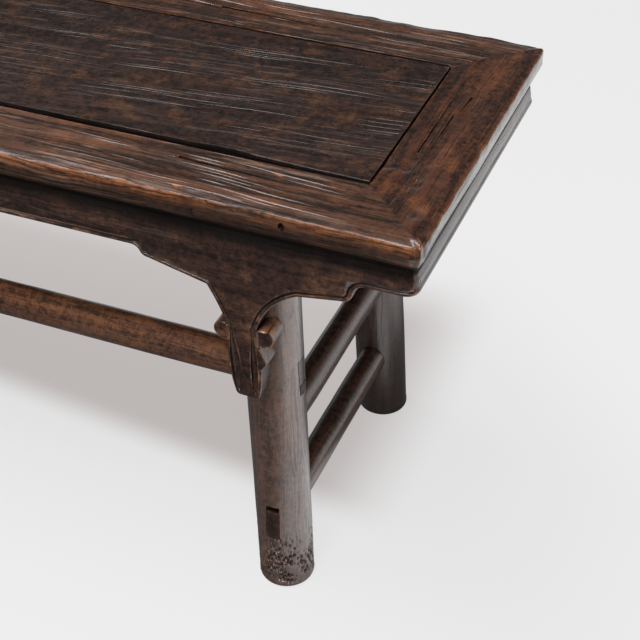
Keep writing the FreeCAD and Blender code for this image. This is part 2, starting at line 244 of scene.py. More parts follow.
def slice_at(piece: Piece, planes: Sequence[tuple[Vector, float]]) -> None:
    """Divides a piece at planes, each given by its normal and its distance from the origin."""
    take(piece)
    enter()
    for axis, place in planes:
        bpy.ops.mesh.select_all(action="SELECT")
        bpy.ops.mesh.bisect(plane_co=axis * place, plane_no=axis)
    leave()


def saw(piece: Piece, point: Vector, outward: Vector) -> None:
    """Saws off what lies beyond a plane and closes the cut."""
    pick_all(piece)
    bpy.ops.mesh.bisect(plane_co=point, plane_no=outward, use_fill=True, clear_outer=True)
    leave()


def mitre(piece: Piece, corner: Vector, side: int) -> None:
    """Mitres a piece that faces -Y through its outer corner at +X or, for side -1, at -X."""
    saw(piece, Vector((side * corner.x, corner.y, corner.z)), Vector((side, 1, 0)).normalized())


def modify(piece: Piece, kind: str, **settings: Any) -> None:
    """Adds a modifier with these settings and applies it."""
    take(piece)
    modifier = piece.modifiers.new(kind, kind)
    for key, value in settings.items():
        setattr(modifier, key, value)
    bpy.ops.object.modifier_apply(modifier=modifier.name)


def combine(piece: Piece, tool: Piece, way: str) -> None:
    """Changes a piece by a tool, which is used up; the way is DIFFERENCE, UNION or INTERSECT."""
    modify(piece, "BOOLEAN", object=tool, operation=way, solver="MANIFOLD")
    bpy.data.meshes.remove(tool.data)


def cut(piece: Piece, tool: Piece) -> None:
    """Cuts a tool's shape out of a piece."""
    combine(piece, tool, "DIFFERENCE")


def weather(piece: Piece, relief: Relief, zone: Optional[Zone] = None) -> None:
    """Wears a piece down along its normals.

    Args:
        piece: Piece to wear.
        relief: Pattern, size and depth of the wear.
        zone: Share of the wear at a point, from 0 to 1; everywhere if left out.
    """
    texture = bpy.data.textures.new("relief", relief.pattern.value)
    texture.noise_scale = 1.0
    texture.use_color_ramp = True
    stops = texture.color_ramp.elements
    for stop, value, shade in zip(stops, (relief.hollow, relief.plateau), (0.0, 1.0)):
        stop.position = value
        stop.color = (shade, shade, shade, 1.0)
    guide = bpy.data.objects.new("guide", None)
    bpy.context.scene.collection.objects.link(guide)
    guide.scale = relief.size
    bpy.context.view_layer.update()
    group = ""
    if zone:
        group = "zone"
        weights = piece.vertex_groups.new(name=group)
        for point in piece.data.vertices:
            share = zone(point.co)
            if share > 0:
                weights.add([point.index], min(share, 1.0), "REPLACE")
    modify(
        piece,
        "DISPLACE",
        texture=texture,
        texture_coords="OBJECT",
        texture_coords_object=guide,
        strength=relief.depth,
        direction="Z" if relief.sinks else "NORMAL",
        mid_level=1.0,
        vertex_group=group,
    )
    if zone:
        piece.vertex_groups.clear()
    bpy.data.objects.remove(guide)
    bpy.data.textures.remove(texture)


def pull(piece: Piece, point: Vector, shift: Vector, reach: float, grip: float = 0.004) -> None:
    """Moves the points at a place, and their surroundings less and less.

    Args:
        piece: Piece to shape.
        point: Place that is gripped.
        shift: How far the gripped points move.
        reach: How far the move is felt.
        grip: Size of the gripped place.
    """
    pick_none(piece, "VERT")
    for spot in piece.data.vertices:
        spot.select = (spot.co - point).length < grip
    enter()
    bpy.ops.transform.translate(
        value=shift,
        use_proportional_edit=True,
        proportional_edit_falloff="SMOOTH",
        proportional_size=reach,
    )
    leave()


def face_outwards(piece: Piece) -> None:
    """Merges doubles and turns all faces outwards."""
    pick_all(piece)
    bpy.ops.mesh.remove_doubles(threshold=0.00001)
    bpy.ops.mesh.normals_make_consistent(inside=False)
    leave()


def flip(piece: Piece, way: tuple[int, int]) -> Piece:
    """Moves a piece to another corner of the bench, given by signs along X and Y."""
    piece.scale = (*way, 1)
    settle(piece)
    face_outwards(piece)
    return piece


def mirrored(piece: Piece, name: str, way: tuple[int, int]) -> Piece:
    """Copies a piece to another corner of the bench, given by signs along X and Y."""
    take(piece)
    bpy.ops.object.duplicate()
    copy = bpy.context.object
    copy.name = name
    return flip(copy, way)


def join(pieces: Sequence[Piece]) -> Piece:
    """Joins pieces into the first of them and gives it, with its faces outwards."""
    bpy.ops.object.select_all(action="DESELECT")
    for piece in pieces:
        piece.select_set(True)
    bpy.context.view_layer.objects.active = pieces[0]
    bpy.ops.object.join()
    face_outwards(pieces[0])
    return pieces[0]


def hand_over(
    piece: Piece, node: str, finish: bpy.types.Material, crease: float = 35.0
) -> None:
    """Shades and dresses a finished piece and sets it in the frame.

    Args:
        piece: Finished piece.
        node: Node that it stands for.
        finish: Material of the piece.
        crease: Sharpest angle that is still shaded smooth, in degrees.
    """
    take(piece)
    bpy.ops.object.shade_smooth_by_angle(angle=math.radians(crease))
    piece.data.materials.clear()
    piece.data.materials.append(finish)
    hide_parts(node)
    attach(piece, "root")
    piece.data.calc_loop_triangles()
    log.info("%s: %d triangles", piece.name, len(piece.data.loop_triangles))


@dataclass(frozen=True)
class Crack:
    """Drying crack in a surface facing up: steep on one side, slanted on the other, thin at its start.

    Attributes:
        start: X and Y of the closed end.
        end: X and Y of the open end.
        width: Width at the open end.
        depth: Depth below the surface.
        floor: Width at the bottom, as a share of the width.
        tail: Width and depth at the closed end, as shares of those at the open end.
    """

    start: tuple[float, float]
    end: tuple[float, float]
    width: float
    depth: float
    floor: float = 0.02
    tail: tuple[float, float] = (0.1, 0.4)

    def cut_into(self, piece: Piece, top: float) -> None:
        """Cuts the crack.

        Args:
            piece: Piece to cut.
            top: Level of its surface.
        """
        start = Vector((*self.start, top))
        end = Vector((*self.end, top))
        run = end - start
        half = Vector((run.length / 2, self.width / 2, self.depth))
        tool = block("crack", -half, half)
        pick_faces(tool, lambda centre, normal: normal.z < -0.5)
        bpy.ops.transform.resize(value=(1.0, self.floor, 1.0), center_override=(0.0, -half.y, -half.z))
        leave()
        pick_faces(tool, lambda centre, normal: normal.x < -0.5)
        bpy.ops.transform.resize(value=(1.0, *self.tail), center_override=(-half.x, 0.0, 0.0))
        leave()
        tool.location = (start + end) / 2
        tool.rotation_euler = (0.0, 0.0, math.atan2(run.y, run.x))
        settle(tool)
        cut(piece, tool)


@dataclass(frozen=True)
class Furrows:
    """Furrows that weather has opened along the grain of a surface facing up.

    Attributes:
        low: One corner of the furrowed area.
        high: The opposite corner.
        run: Direction of the grain.
        lane: Distance between neighbouring furrows.
        seed: Seed of their places and sizes.
        slope: Slant of the grain against its direction.
        width: Greatest width of a furrow.
        depth: Greatest depth of a furrow.
        clear: Share of whole grain, from -1 for none to 1 for all.
        lead: Greatest distance of the first furrow of a lane from its start.
        lengths: Shortest and longest furrow.
        breaks: Shortest and longest break between two furrows of a lane.
        sway: How far a furrow wanders sideways.
    """

    low: Vector
    high: Vector
    run: Vector
    lane: float
    seed: int
    slope: float = 0.0
    width: float = 0.0011
    depth: float = 0.0006
    clear: float = -0.05
    lead: float = 0.12
    lengths: tuple[float, float] = (0.025, 0.16)
    breaks: tuple[float, float] = (0.006, 0.08)
    sway: float = 0.005

    @property
    def across(self) -> Vector:
        """Direction across the grain."""
        return Vector((self.run.y, self.run.x, 0))

    def cut_into(self, piece: Piece, allowed: Callable[[Vector], bool] = lambda point: True) -> None:
        """Cuts the furrows, which follow the worn surface, steep in front and slanted behind.

        Args:
            piece: Piece to cut.
            allowed: Says whether a furrow may reach a point.
        """
        chance = random.Random(self.seed)
        span = (self.high - self.low).dot(self.run)
        breadth = (self.high - self.low).dot(self.across)
        shear = self.slope * span

        def inside(point: Vector) -> bool:
            """Says whether a furrow may reach a point."""
            return 0 < (point - self.low).dot(self.across) < breadth and allowed(point)

        first = block("furrow", Vector((-0.5, -0.5, -0.5)), Vector((0.5, 0.5, 0.5)))
        divide(first, ALONG, (9,), 0.5)
        tools = []
        for lane in range(int((breadth + abs(shear)) / self.lane)):
            reach = chance.uniform(0.0, self.lead)
            side = self.lane * (lane + chance.uniform(0.3, 0.7)) - max(0.0, shear)
            while reach < span:
                length = chance.uniform(*self.lengths)
                start = self.low + self.run * reach + self.across * (side + self.slope * reach)
                reach += length + chance.uniform(*self.breaks)
                end = start + (self.run + self.across * self.slope) * length
                open_here = noise.noise(Vector((start.x * 9, start.y * 30, self.seed))) > self.clear
                if inside(start) and inside(end) and open_here:
                    take(first)
                    bpy.ops.object.duplicate()
                    tools.append(bpy.context.object)
                    self.lay(tools[-1], piece, start, end, chance.uniform(0.5, 1.0))
        cut(piece, join(tools))
        bpy.data.meshes.remove(first.data)

    def lay(
        self, tool: Piece, piece: Piece, start: Vector, end: Vector, share: float
    ) -> None:
        """Lays one cutter along the surface.

        Args:
            tool: Cutter, a divided unit block.
            piece: Piece that it follows.
            start: Where the furrow starts.
            end: Where it ends.
            share: Its size as a share of the greatest.
        """
        across = self.across
        for spot in tool.data.vertices:
            taper = share * max(0.08, 1 - (2 * spot.co.x) ** 2)
            place = start.lerp(end, spot.co.x + 0.5)
            place += across * noise.noise(Vector((place.x * 11, place.y * 11, self.seed))) * self.sway
            hit, surface, _, _ = piece.ray_cast(Vector((place.x, place.y, 1.0)), -UP)
            level = surface.z if hit else Level.SEAT
            if spot.co.z > 0:
                offset = across * spot.co.y * self.width * taper * 1.8 + UP * (0.00015 + 0.0003 * taper)
            else:
                offset = across * (spot.co.y * 0.1 - 0.4) * self.width * taper - UP * self.depth * taper
            spot.co = Vector((place.x, place.y, level)) + offset


class OutlinePen:
    """Draws a closed outline in one plane with extruded lines and spun arcs."""

    def __init__(self, name: str, start: Vector, normal: Vector) -> None:
        """Sets the pen down.

        Args:
            name: Name of the new object.
            start: First point.
            normal: Normal of the outline's plane.
        """
        self.normal = normal
        self.first = start.copy()
        self.point = start.copy()
        bpy.ops.mesh.primitive_plane_add(size=0.01, location=start)
        self.piece = fresh(name)
        pick_all(self.piece)
        bpy.ops.mesh.select_mode(type="VERT")
        bpy.ops.mesh.merge(type="CENTER")

    def line(self, end: Vector, steps: int = 1) -> None:
        """Draws a straight line in equal steps."""
        stride = (end - self.point) / steps
        for _ in range(steps):
            bpy.ops.mesh.extrude_region_move(TRANSFORM_OT_translate={"value": stride})
        self.point = end.copy()

    def arc(self, middle: Vector, end: Vector, step: float = 0.002) -> None:
        """Draws an arc through a middle point.

        Args:
            middle: Point on the arc.
            end: Last point.
            step: Length of one facet.
        """
        centre = self.centre(self.point, middle, end)
        radius = (self.point - centre).length
        turn = self.turn(centre, self.point, middle) + self.turn(centre, middle, end)
        steps = max(3, round(abs(turn) * radius / step))
        bpy.ops.mesh.spin(steps=steps, angle=-turn, center=centre, axis=self.normal)
        self.point = end.copy()

    def stroke(self, end: Vector, middle: Optional[Vector]) -> None:
        """Draws an arc through a middle point, or a line if there is none."""
        if middle is None:
            self.line(end)
        else:
            self.arc(middle, end)

    def turn(self, centre: Vector, start: Vector, end: Vector) -> float:
        """Gives the signed angle from one point to another, seen against the normal."""
        first = start - centre
        second = end - centre
        return math.atan2(first.cross(second).dot(self.normal), first.dot(second))

    @staticmethod
    def centre(first: Vector, second: Vector, third: Vector) -> Vector:
        """Gives the centre of the circle through three points."""
        a = second - first
        b = third - first
        across = a.cross(b)
        spread = across.cross(a) * b.length_squared + b.cross(across) * a.length_squared
        return first + spread / (2 * across.length_squared)

    def solid(self, sweep: Vector) -> Piece:
        """Closes and fills the outline and extrudes it.

        Args:
            sweep: Direction and length of the extrusion.

        Returns:
            The solid, with its faces outwards.
        """
        if (self.point - self.first).length > 0.00002:
            self.line(self.first)
        bpy.ops.mesh.select_all(action="SELECT")
        bpy.ops.mesh.remove_doubles(threshold=0.00002)
        bpy.ops.mesh.select_all(action="SELECT")
        bpy.ops.mesh.edge_face_add()
        bpy.ops.mesh.select_all(action="SELECT")
        bpy.ops.mesh.extrude_region_move(TRANSFORM_OT_translate={"value": sweep})
        bpy.ops.mesh.select_all(action="SELECT")
        bpy.ops.mesh.normals_make_consistent(inside=False)
        leave()
        return self.piece


def swelling_middle(top: Vector, bottom: Vector) -> Vector:
    """Middle of a convex face's arc in the YZ plane, upright at its foremost end.

    Args:
        top: Upper end of the face.
        bottom: Lower end of the face.

    Returns:
        A point on the arc between them.
    """
    front, back = sorted((top, bottom), key=lambda point: point.y)
    depth = back.y - front.y
    height = abs(back.z - front.z)
    radius = (depth**2 + height**2) / (2 * depth)
    turn = math.atan2(height, radius - depth) / 2
    sign = math.copysign(1, back.z - front.z)
    return front + Vector((0, radius * (1 - math.cos(turn)), sign * radius * math.sin(turn)))


class Tree:
    """Adds and joins nodes in one node tree."""

    def __init__(self, tree: bpy.types.NodeTree) -> None:
        """Takes up a node tree."""
        self.tree = tree

    def node(self, kind: str, sockets: dict[Any, Any], **settings: Any) -> bpy.types.Node:
        """Adds a node.

        Args:
            kind: Blender's name of the node type, after the word ShaderNode.
            sockets: Values or outgoing sockets by input name or number.
            **settings: Properties of the node.

        Returns:
            The new node.
        """
        made = self.tree.nodes.new("ShaderNode" + kind)
        for key, value in settings.items():
            setattr(made, key, value)
        for key, value in sockets.items():
            if isinstance(value, Socket):
                self.tree.links.new(value, made.inputs[key])
            else:
                made.inputs[key].default_value = value
        return made

    def math(self, operation: str, first: Any, second: Any = 0.0, clamp: bool = False) -> Socket:
        """Adds a Math node and gives its output."""
        sockets = {0: first, 1: second}
        return self.node("Math", sockets, operation=operation, use_clamp=clamp).outputs[0]

    def times(self, first: Any, second: Any) -> Socket:
        """Multiplies two values."""
        return self.math("MULTIPLY", first, second)

    def plus(self, first: Any, second: Any) -> Socket:
        """Adds two values."""
        return self.math("ADD", first, second)

    def minus(self, first: Any, second: Any) -> Socket:
        """Takes one value from another."""
        return self.math("SUBTRACT", first, second)

    def most(self, first: Any, second: Any) -> Socket:
        """Gives the greater of two values."""
        return self.math("MAXIMUM", first, second)

    def part(self, vector: Any, axis: str) -> Socket:
        """Gives the X, Y or Z of a vector."""
        return self.node("SeparateXYZ", {"Vector": vector}).outputs[axis]

    def link(self, value: Socket, target: Socket) -> None:
        """Joins an outgoing socket to an input."""
        self.tree.links.new(value, target)

    def vector(self, operation: str, first: Any, second: Any) -> Socket:
        """Adds a Vector Math node and gives its vector."""
        return self.node("VectorMath", {0: first, 1: second}, operation=operation).outputs[0]

    def mix(self, share: Any, first: Any, second: Any) -> Socket:
        """Mixes two colours and gives the result."""
        return self.node("Mix", {0: share, 6: first, 7: second}, data_type="RGBA").outputs[2]

    def blend(self, share: Socket, first: Socket, second: Socket) -> Socket:
        """Blends two shaders and gives the result."""
        return self.node("MixShader", {0: share, 1: first, 2: second}).outputs[0]

    def noise(self, place: Any, scale: Any, detail: float = 3.0, roughness: float = 0.55) -> Socket:
        """Adds a Noise texture and gives its value."""
        sockets = {"Vector": place, "Scale": scale, "Detail": detail, "Roughness": roughness}
        return self.node("TexNoise", sockets).outputs[0]

    def fit(self, value: Any, low: float, high: float, first: Any = 0.0, last: Any = 1.0) -> Socket:
        """Maps a range of values onto another, clamped and smooth."""
        sockets = {"Value": value, "From Min": low, "From Max": high, "To Min": first, "To Max": last}
        return self.node("MapRange", sockets, interpolation_type="SMOOTHSTEP").outputs[0]


class Effect:
    """Base of the shader node groups that several finishes share; a socket named Vector is a vector."""

    name = ""
    inputs: tuple[str, ...] = ()
    outputs: tuple[str, ...] = ()
    group: Optional[bpy.types.NodeTree] = None

    @classmethod
    def built(cls) -> bpy.types.NodeTree:
        """Builds the group the first time and gives it."""
        if cls.group is None:
            cls.group = bpy.data.node_groups.new(cls.name, "ShaderNodeTree")
            for way, names in (("INPUT", cls.inputs), ("OUTPUT", cls.outputs)):
                for name in names:
                    kind = "NodeSocketVector" if name == "Vector" else "NodeSocketFloat"
                    cls.group.interface.new_socket(name=name, in_out=way, socket_type=kind)
            tree = Tree(cls.group)
            given = cls.group.nodes.new("NodeGroupInput").outputs
            result = cls.group.nodes.new("NodeGroupOutput")
            for name, value in cls.values(tree, given).items():
                tree.link(value, result.inputs[name])
        return cls.group

    @classmethod
    def values(cls, tree: Tree, given: Sockets) -> dict[str, Socket]:
        """Adds the group's nodes and gives its results by name; each effect has its own."""
        raise NotImplementedError

    @classmethod
    def place(cls, tree: Tree, sockets: dict[str, Any]) -> bpy.types.Node:
        """Places the group in a material with its own values."""
        return tree.node("Group", sockets, node_tree=cls.built())


class WoodGrain(Effect):
    """Weathered grain that runs along the first axis: fibres, broad bands, open pores and raised lines."""

    name = "wood_grain"
    inputs = ("Vector", "Stretch", "Fineness", "Wander")
    outputs = ("Fibre", "Band", "Pore", "Ridge", "Height")

    @classmethod
    def values(cls, tree: Tree, given: Sockets) -> dict[str, Socket]:
        """Adds the group's nodes and gives its results by name."""
        place = given["Vector"]
        fine = given["Fineness"]
        drift = tree.node("TexNoise", {"Vector": place, "Scale": 9.0, "Detail": 3.0})
        centred = tree.vector("SUBTRACT", drift.outputs["Color"], (0.5, 0.5, 0.5))
        sway = tree.vector("MULTIPLY", centred, given["Wander"])
        bent = tree.vector("ADD", place, sway)
        squeeze = tree.node("CombineXYZ", {"X": given["Stretch"], "Y": 1.0, "Z": 1.0})
        drawn = tree.vector("MULTIPLY", bent, squeeze.outputs[0])
        patchy = tree.vector("MULTIPLY", place, (0.12, 1.0, 1.0))
        fibre = tree.noise(drawn, tree.times(fine, 800.0), 3.0, 0.65)
        band = tree.noise(drawn, tree.times(fine, 95.0), 4.0, 0.6)
        field = tree.noise(drawn, tree.times(fine, 42.0), 2.0, 0.5)
        rough = tree.noise(patchy, 620.0, 2.0, 0.6)
        ring = tree.plus(tree.times(field, 13.0), tree.times(rough, 0.5))
        crest = tree.math("ABSOLUTE", tree.minus(tree.math("FRACT", ring), 0.5))
        cluster = tree.fit(tree.noise(patchy, 26.0, 3.0, 0.6), 0.42, 0.6)
        broken = tree.fit(tree.noise(patchy, 130.0, 2.0, 0.5), 0.44, 0.56)
        ridge = tree.times(tree.fit(crest, 0.05, 0.2, 1.0, 0.0), tree.times(cluster, broken))
        furrow = tree.times(tree.fit(crest, 0.34, 0.46), tree.fit(cluster, 0.0, 1.0, 0.25, 1.0))
        split = tree.fit(tree.noise(drawn, tree.times(fine, 420.0), 2.0, 0.5), 0.31, 0.38, 1.0, 0.0)
        pore = tree.most(furrow, split)
        height = tree.plus(tree.times(fibre, 0.4), tree.times(ridge, 0.6))
        height = tree.minus(height, tree.times(pore, 0.45))
        return {
            "Fibre": tree.fit(fibre, 0.32, 0.68),
            "Band": tree.fit(band, 0.32, 0.68),
            "Pore": pore,
            "Ridge": ridge,
            "Height": height,
        }


class EdgeWear(Effect):
    """Where lacquer has rubbed off sharp edges, broken up by a rough noise, and painted shade in sharp
    hollows.
    """

    name = "edge_wear"
    inputs = ("Vector", "Start", "Breadth")
    outputs = ("Mask", "HollowShade")

    @classmethod
    def values(cls, tree: Tree, given: Sockets) -> dict[str, Socket]:
        """Adds the group's nodes and gives its results by name."""
        sharp = tree.node("NewGeometry", {}).outputs["Pointiness"]
        rough = tree.noise(given["Vector"], 60.0, 5.0, 0.7)
        moved = tree.plus(sharp, tree.times(tree.minus(rough, 0.5), 0.16))
        above = tree.minus(moved, given["Start"])
        mask = tree.math("DIVIDE", above, given["Breadth"], True)
        # The second output is painted shade in sharp hollows, from the mesh's pointiness.
        return {"Mask": mask, "HollowShade": tree.fit(sharp, 0.44, 0.495, 1.0, 0.0)}


class Patina(Effect):
    """Slow and fine changes of tone: rubbed places, dull places, speckle and small pits."""

    name = "patina"
    inputs = ("Vector", "Scale")
    outputs = ("Rubbed", "Dull", "Speckle", "Pit")

    @classmethod
    def values(cls, tree: Tree, given: Sockets) -> dict[str, Socket]:
        """Adds the group's nodes and gives its results by name."""
        place = given["Vector"]
        rubbed = tree.fit(tree.noise(place, given["Scale"], 7.0, 0.68), 0.48, 0.66)
        wide = tree.times(given["Scale"], 0.4)
        dull = tree.fit(tree.noise(place, wide, 4.0, 0.6), 0.4, 0.65)
        speckle = tree.fit(tree.noise(place, 160.0, 8.0, 0.85), 0.33, 0.67)
        cell = tree.node("TexVoronoi", {"Vector": place, "Scale": 230.0})
        sparse = tree.fit(tree.noise(place, 45.0, 2.0, 0.5), 0.56, 0.64)
        pit = tree.times(tree.fit(cell.outputs["Distance"], 0.12, 0.24, 1.0, 0.0), sparse)
        return {"Rubbed": rubbed, "Dull": dull, "Speckle": speckle, "Pit": pit}


def srgb(red: int, green: int, blue: int) -> Colour:
    """Gives a screen colour of 0 to 255 as a linear colour."""

    def linear(value: int) -> float:
        """Makes one part of the colour linear."""
        share = value / 255
        return share / 12.92 if share <= 0.04045 else ((share + 0.055) / 1.055) ** 2.4

    return (linear(red), linear(green), linear(blue), 1.0)


# Pale colour of raised grain, partly a painted highlight along the grain lines.
PALE_GLINT = srgb(150, 126, 112)


@dataclass(frozen=True)
class WoodFinish:
    """Worn lacquer over wood.

    Attributes:
        name: Name of the material.
        run: Way the grain runs.
        dark: Lacquer in the hollows.
        brown: Lacquer where it is thin.
        worn: Bare wood at worn edges and rubbed places.
        pale: Pale raised grain, partly a painted highlight where the grain would catch the light.
        tilt: Turn of the grain about the upright axis, in radians.
        stretch: Width of the grain's features, as a share of their length.
        fineness: Number of grain lines, as a share of the usual.
        wander: How far the grain wanders, in metres.
        ridge: Share of the pale colour, partly a painted highlight, on raised grain.
        pores: Share of dark colour in open pores.
        rubbed: Share of bare colour on rubbed places.
        wear: Share of bare colour on worn edges.
        wear_start: Sharpness at which edge wear starts.
        bared: Upward slant of the faces that are rubbed bare, from least to greatest; none if equal.
        speckle: Share of the fine speckle in the change from dark to brown.
        pits: Share of dark colour in small pits.
        painted_shade_band: Level at which a painted band of shade, under overhangs and in gaps, is darkest
            and level at which it ends; none if equal.
        corner_shade: Share of painted shade in corners and behind overhangs.
        roughness: Roughness of the lacquer.
        bump: Strength of the grain's bump.
        coat: Weight of the clear coat.
        gloss: Strength of the lacquer's own sheen.
        blotch: Number of rubbed places in a metre.
        ends: Share of dark colour on end grain.
        hollow: Share of painted shade in sharp hollows.
        wear_breadth: Range of sharpness over which edge wear grows full.
        corner_shade_reach: How far away an overhang still darkens the surface with painted shade, in metres.
        coat_roughness: Roughness of the clear coat.
    """

    name: str
    run: GrainRun
    dark: Colour
    brown: Colour
    worn: Colour
    pale: Colour = PALE_GLINT
    tilt: float = 0.0
    stretch: float = 0.02
    fineness: float = 1.0
    wander: float = 0.012
    ridge: float = 0.3
    pores: float = 0.6
    rubbed: float = 0.5
    wear: float = 0.8
    wear_start: float = 0.54
    bared: tuple[float, float] = (0.0, 0.0)
    speckle: float = 0.4
    pits: float = 0.5
    painted_shade_band: tuple[float, float] = (0.0, 0.0)
    corner_shade: float = 0.9
    roughness: float = 0.34
    bump: float = 0.8
    coat: float = 0.9
    gloss: float = 0.2
    blotch: float = 24.0
    ends: float = 0.7
    hollow: float = 0.75
    wear_breadth: float = 0.06
    corner_shade_reach: float = 0.02
    coat_roughness: float = 0.25

    def material(self) -> bpy.types.Material:
        """Builds the material.

        Returns:
            The new material.
        """
        made = bpy.data.materials.new(self.name)
        made.use_nodes = True
        tree = Tree(made.node_tree)
        shader = made.node_tree.nodes["Principled BSDF"]
        source = tree.node("TexCoord", {}).outputs
        place = source["Object"]
        turn = Vector(self.run.value) + UP * self.tilt
        lined = tree.node("Mapping", {"Vector": place, "Rotation": turn}).outputs[0]
        shape = {"Stretch": self.stretch, "Fineness": self.fineness, "Wander": self.wander}
        grain = WoodGrain.place(tree, {"Vector": lined, **shape}).outputs
        sharpness = {"Start": self.wear_start, "Breadth": self.wear_breadth}
        edge = EdgeWear.place(tree, {"Vector": place, **sharpness}).outputs
        age = Patina.place(tree, {"Vector": place, "Scale": self.blotch}).outputs
        slant = tree.part(source["Normal"], "Z")
        normal = {"Vector": source["Normal"], "Rotation": turn}
        facing = tree.node("Mapping", normal, vector_type="VECTOR").outputs[0]
        along = tree.math("ABSOLUTE", tree.part(facing, "X"))
        # Painted shade: darkens the colour, takes off the clear coat and roughens the lacquer in corners and
        # under overhangs.
        painted_shade = self.painted_shade(tree, tree.part(place, "Z"), slant)
        colour = self.lacquer(tree, grain, edge, age, slant)
        for share in (
            tree.times(grain["Pore"], self.pores),
            tree.times(age["Pit"], self.pits),
            # Painted shade in sharp hollows.
            tree.times(edge["HollowShade"], self.hollow),
            tree.fit(along, 0.84, 0.97, 0.0, self.ends),
            painted_shade,
        ):
            colour = tree.mix(share, colour, BLACK)
        tree.link(colour, shader.inputs["Base Color"])
        rough = tree.plus(tree.times(grain["Pore"], 0.3), self.roughness)
        rough = tree.plus(rough, tree.times(age["Dull"], 0.12))
        rough = tree.math("ADD", rough, tree.times(painted_shade, 0.4), True)
        tree.link(rough, shader.inputs["Roughness"])
        height = tree.plus(grain["Height"], tree.times(age["Speckle"], 0.12))
        height = tree.minus(height, tree.times(age["Pit"], 0.6))
        bump = tree.node("Bump", {"Strength": self.bump, "Distance": 0.001, "Height": height})
        tree.link(bump.outputs[0], shader.inputs["Normal"])
        # No clear coat under the painted shade, so it shows no sheen there.
        tree.link(tree.fit(painted_shade, 0.0, 0.55, self.coat, 0.0), shader.inputs["Coat Weight"])
        shader.inputs["Specular IOR Level"].default_value = self.gloss
        shader.inputs["Coat Roughness"].default_value = self.coat_roughness
        return made

    def lacquer(self, tree: Tree, grain: Sockets, edge: Sockets, age: Sockets, slant: Socket) -> Socket:
        """Colours the lacquer, rubbed bare in places, and the raised grain, whose pale colour is partly a
        painted highlight.

        Args:
            tree: Tree of the material.
            grain: Outputs of the wood grain.
            edge: Outputs of the edge wear.
            age: Outputs of the patina.
            slant: Upward part of the normal.

        Returns:
            The colour, before pores, pits, end grain and painted shade darken it.
        """
        share = 1 - self.speckle
        tone = tree.plus(tree.times(grain["Band"], share * 0.6), tree.times(grain["Fibre"], share * 0.4))
        tone = tree.plus(tone, tree.times(age["Speckle"], self.speckle))
        colour = tree.mix(tree.fit(tone, 0.2, 0.8), self.dark, self.brown)
        bare = tree.times(age["Rubbed"], self.rubbed)
        low, high = self.bared
        if low < high:
            turned = tree.fit(slant, low - 0.15, low + 0.15)
            turned = tree.times(turned, tree.fit(slant, high - 0.03, high, 1.0, 0.0))
            bare = tree.most(bare, tree.times(turned, tree.fit(age["Rubbed"], 0.0, 1.0, 0.5, 1.0)))
        bare = tree.times(bare, tree.fit(tone, 0.1, 0.95, 0.1, 1.0))
        bare = tree.most(bare, tree.times(edge["Mask"], self.wear))
        colour = tree.mix(bare, colour, self.worn)
        # Raised grain takes the pale colour, which is partly a painted highlight.
        return tree.mix(tree.times(grain["Ridge"], self.ridge), colour, self.pale)

    def painted_shade(self, tree: Tree, level: Socket, slant: Socket) -> Socket:
        """Gives the share of painted shade: darkening in corners and behind overhangs, and a dark band
        between its levels.

        Args:
            tree: Tree of the material.
            level: Height above the floor.
            slant: Upward part of the normal.

        Returns:
            The share of painted shade.
        """
        # Painted shade where nearby surfaces close in: corners and behind overhangs.
        hidden = tree.node("AmbientOcclusion", {"Distance": self.corner_shade_reach}, samples=5)
        share = tree.fit(hidden.outputs["AO"], 0.2, 0.66, self.corner_shade, 0.0)
        thick, clean = self.painted_shade_band
        if thick == clean:
            return share
        # Painted shade: a dark band between given levels, under the rails, on the tops of the aprons and in
        # the panel's gap.
        shade_band = tree.times(tree.fit(level, thick, clean, 0.93, 0.0), tree.fit(slant, -0.9, -0.7))
        return tree.most(share, shade_band)


@dataclass(frozen=True)
class LegAxis:
    """Axis and radius of the front right leg, which leans in towards the seat."""

    foot_x: float = 0.4505
    foot_y: float = -0.1436
    lean_x: float = -math.tan(math.radians(2.3))
    lean_y: float = math.tan(math.radians(2.05))
    radius: float = 0.029

    def at(self, level: float) -> Vector:
        """Gives the point of the axis at a level."""
        return Vector((self.foot_x + self.lean_x * level, self.foot_y + self.lean_y * level, level))


CORNERS = {"front_right": (1, 1), "front_left": (-1, 1), "back_right": (1, -1), "back_left": (-1, -1)}


def peg_spots(reach: float) -> list[Vector]:
    """Gives the places of the four mitre pegs, at a distance from the middle of the bench."""
    return [Vector((x * reach, y * PEG_OFFSET, Level.PEG)) for x in (1, -1) for y in (1, -1)]


def with_grain(run: Vector, length: float, breadth: float) -> tuple[float, float, float]:
    """Gives the size of a feature that is long with the grain and narrow across it."""
    return tuple(length if abs(part) > 0.5 else breadth for part in run)


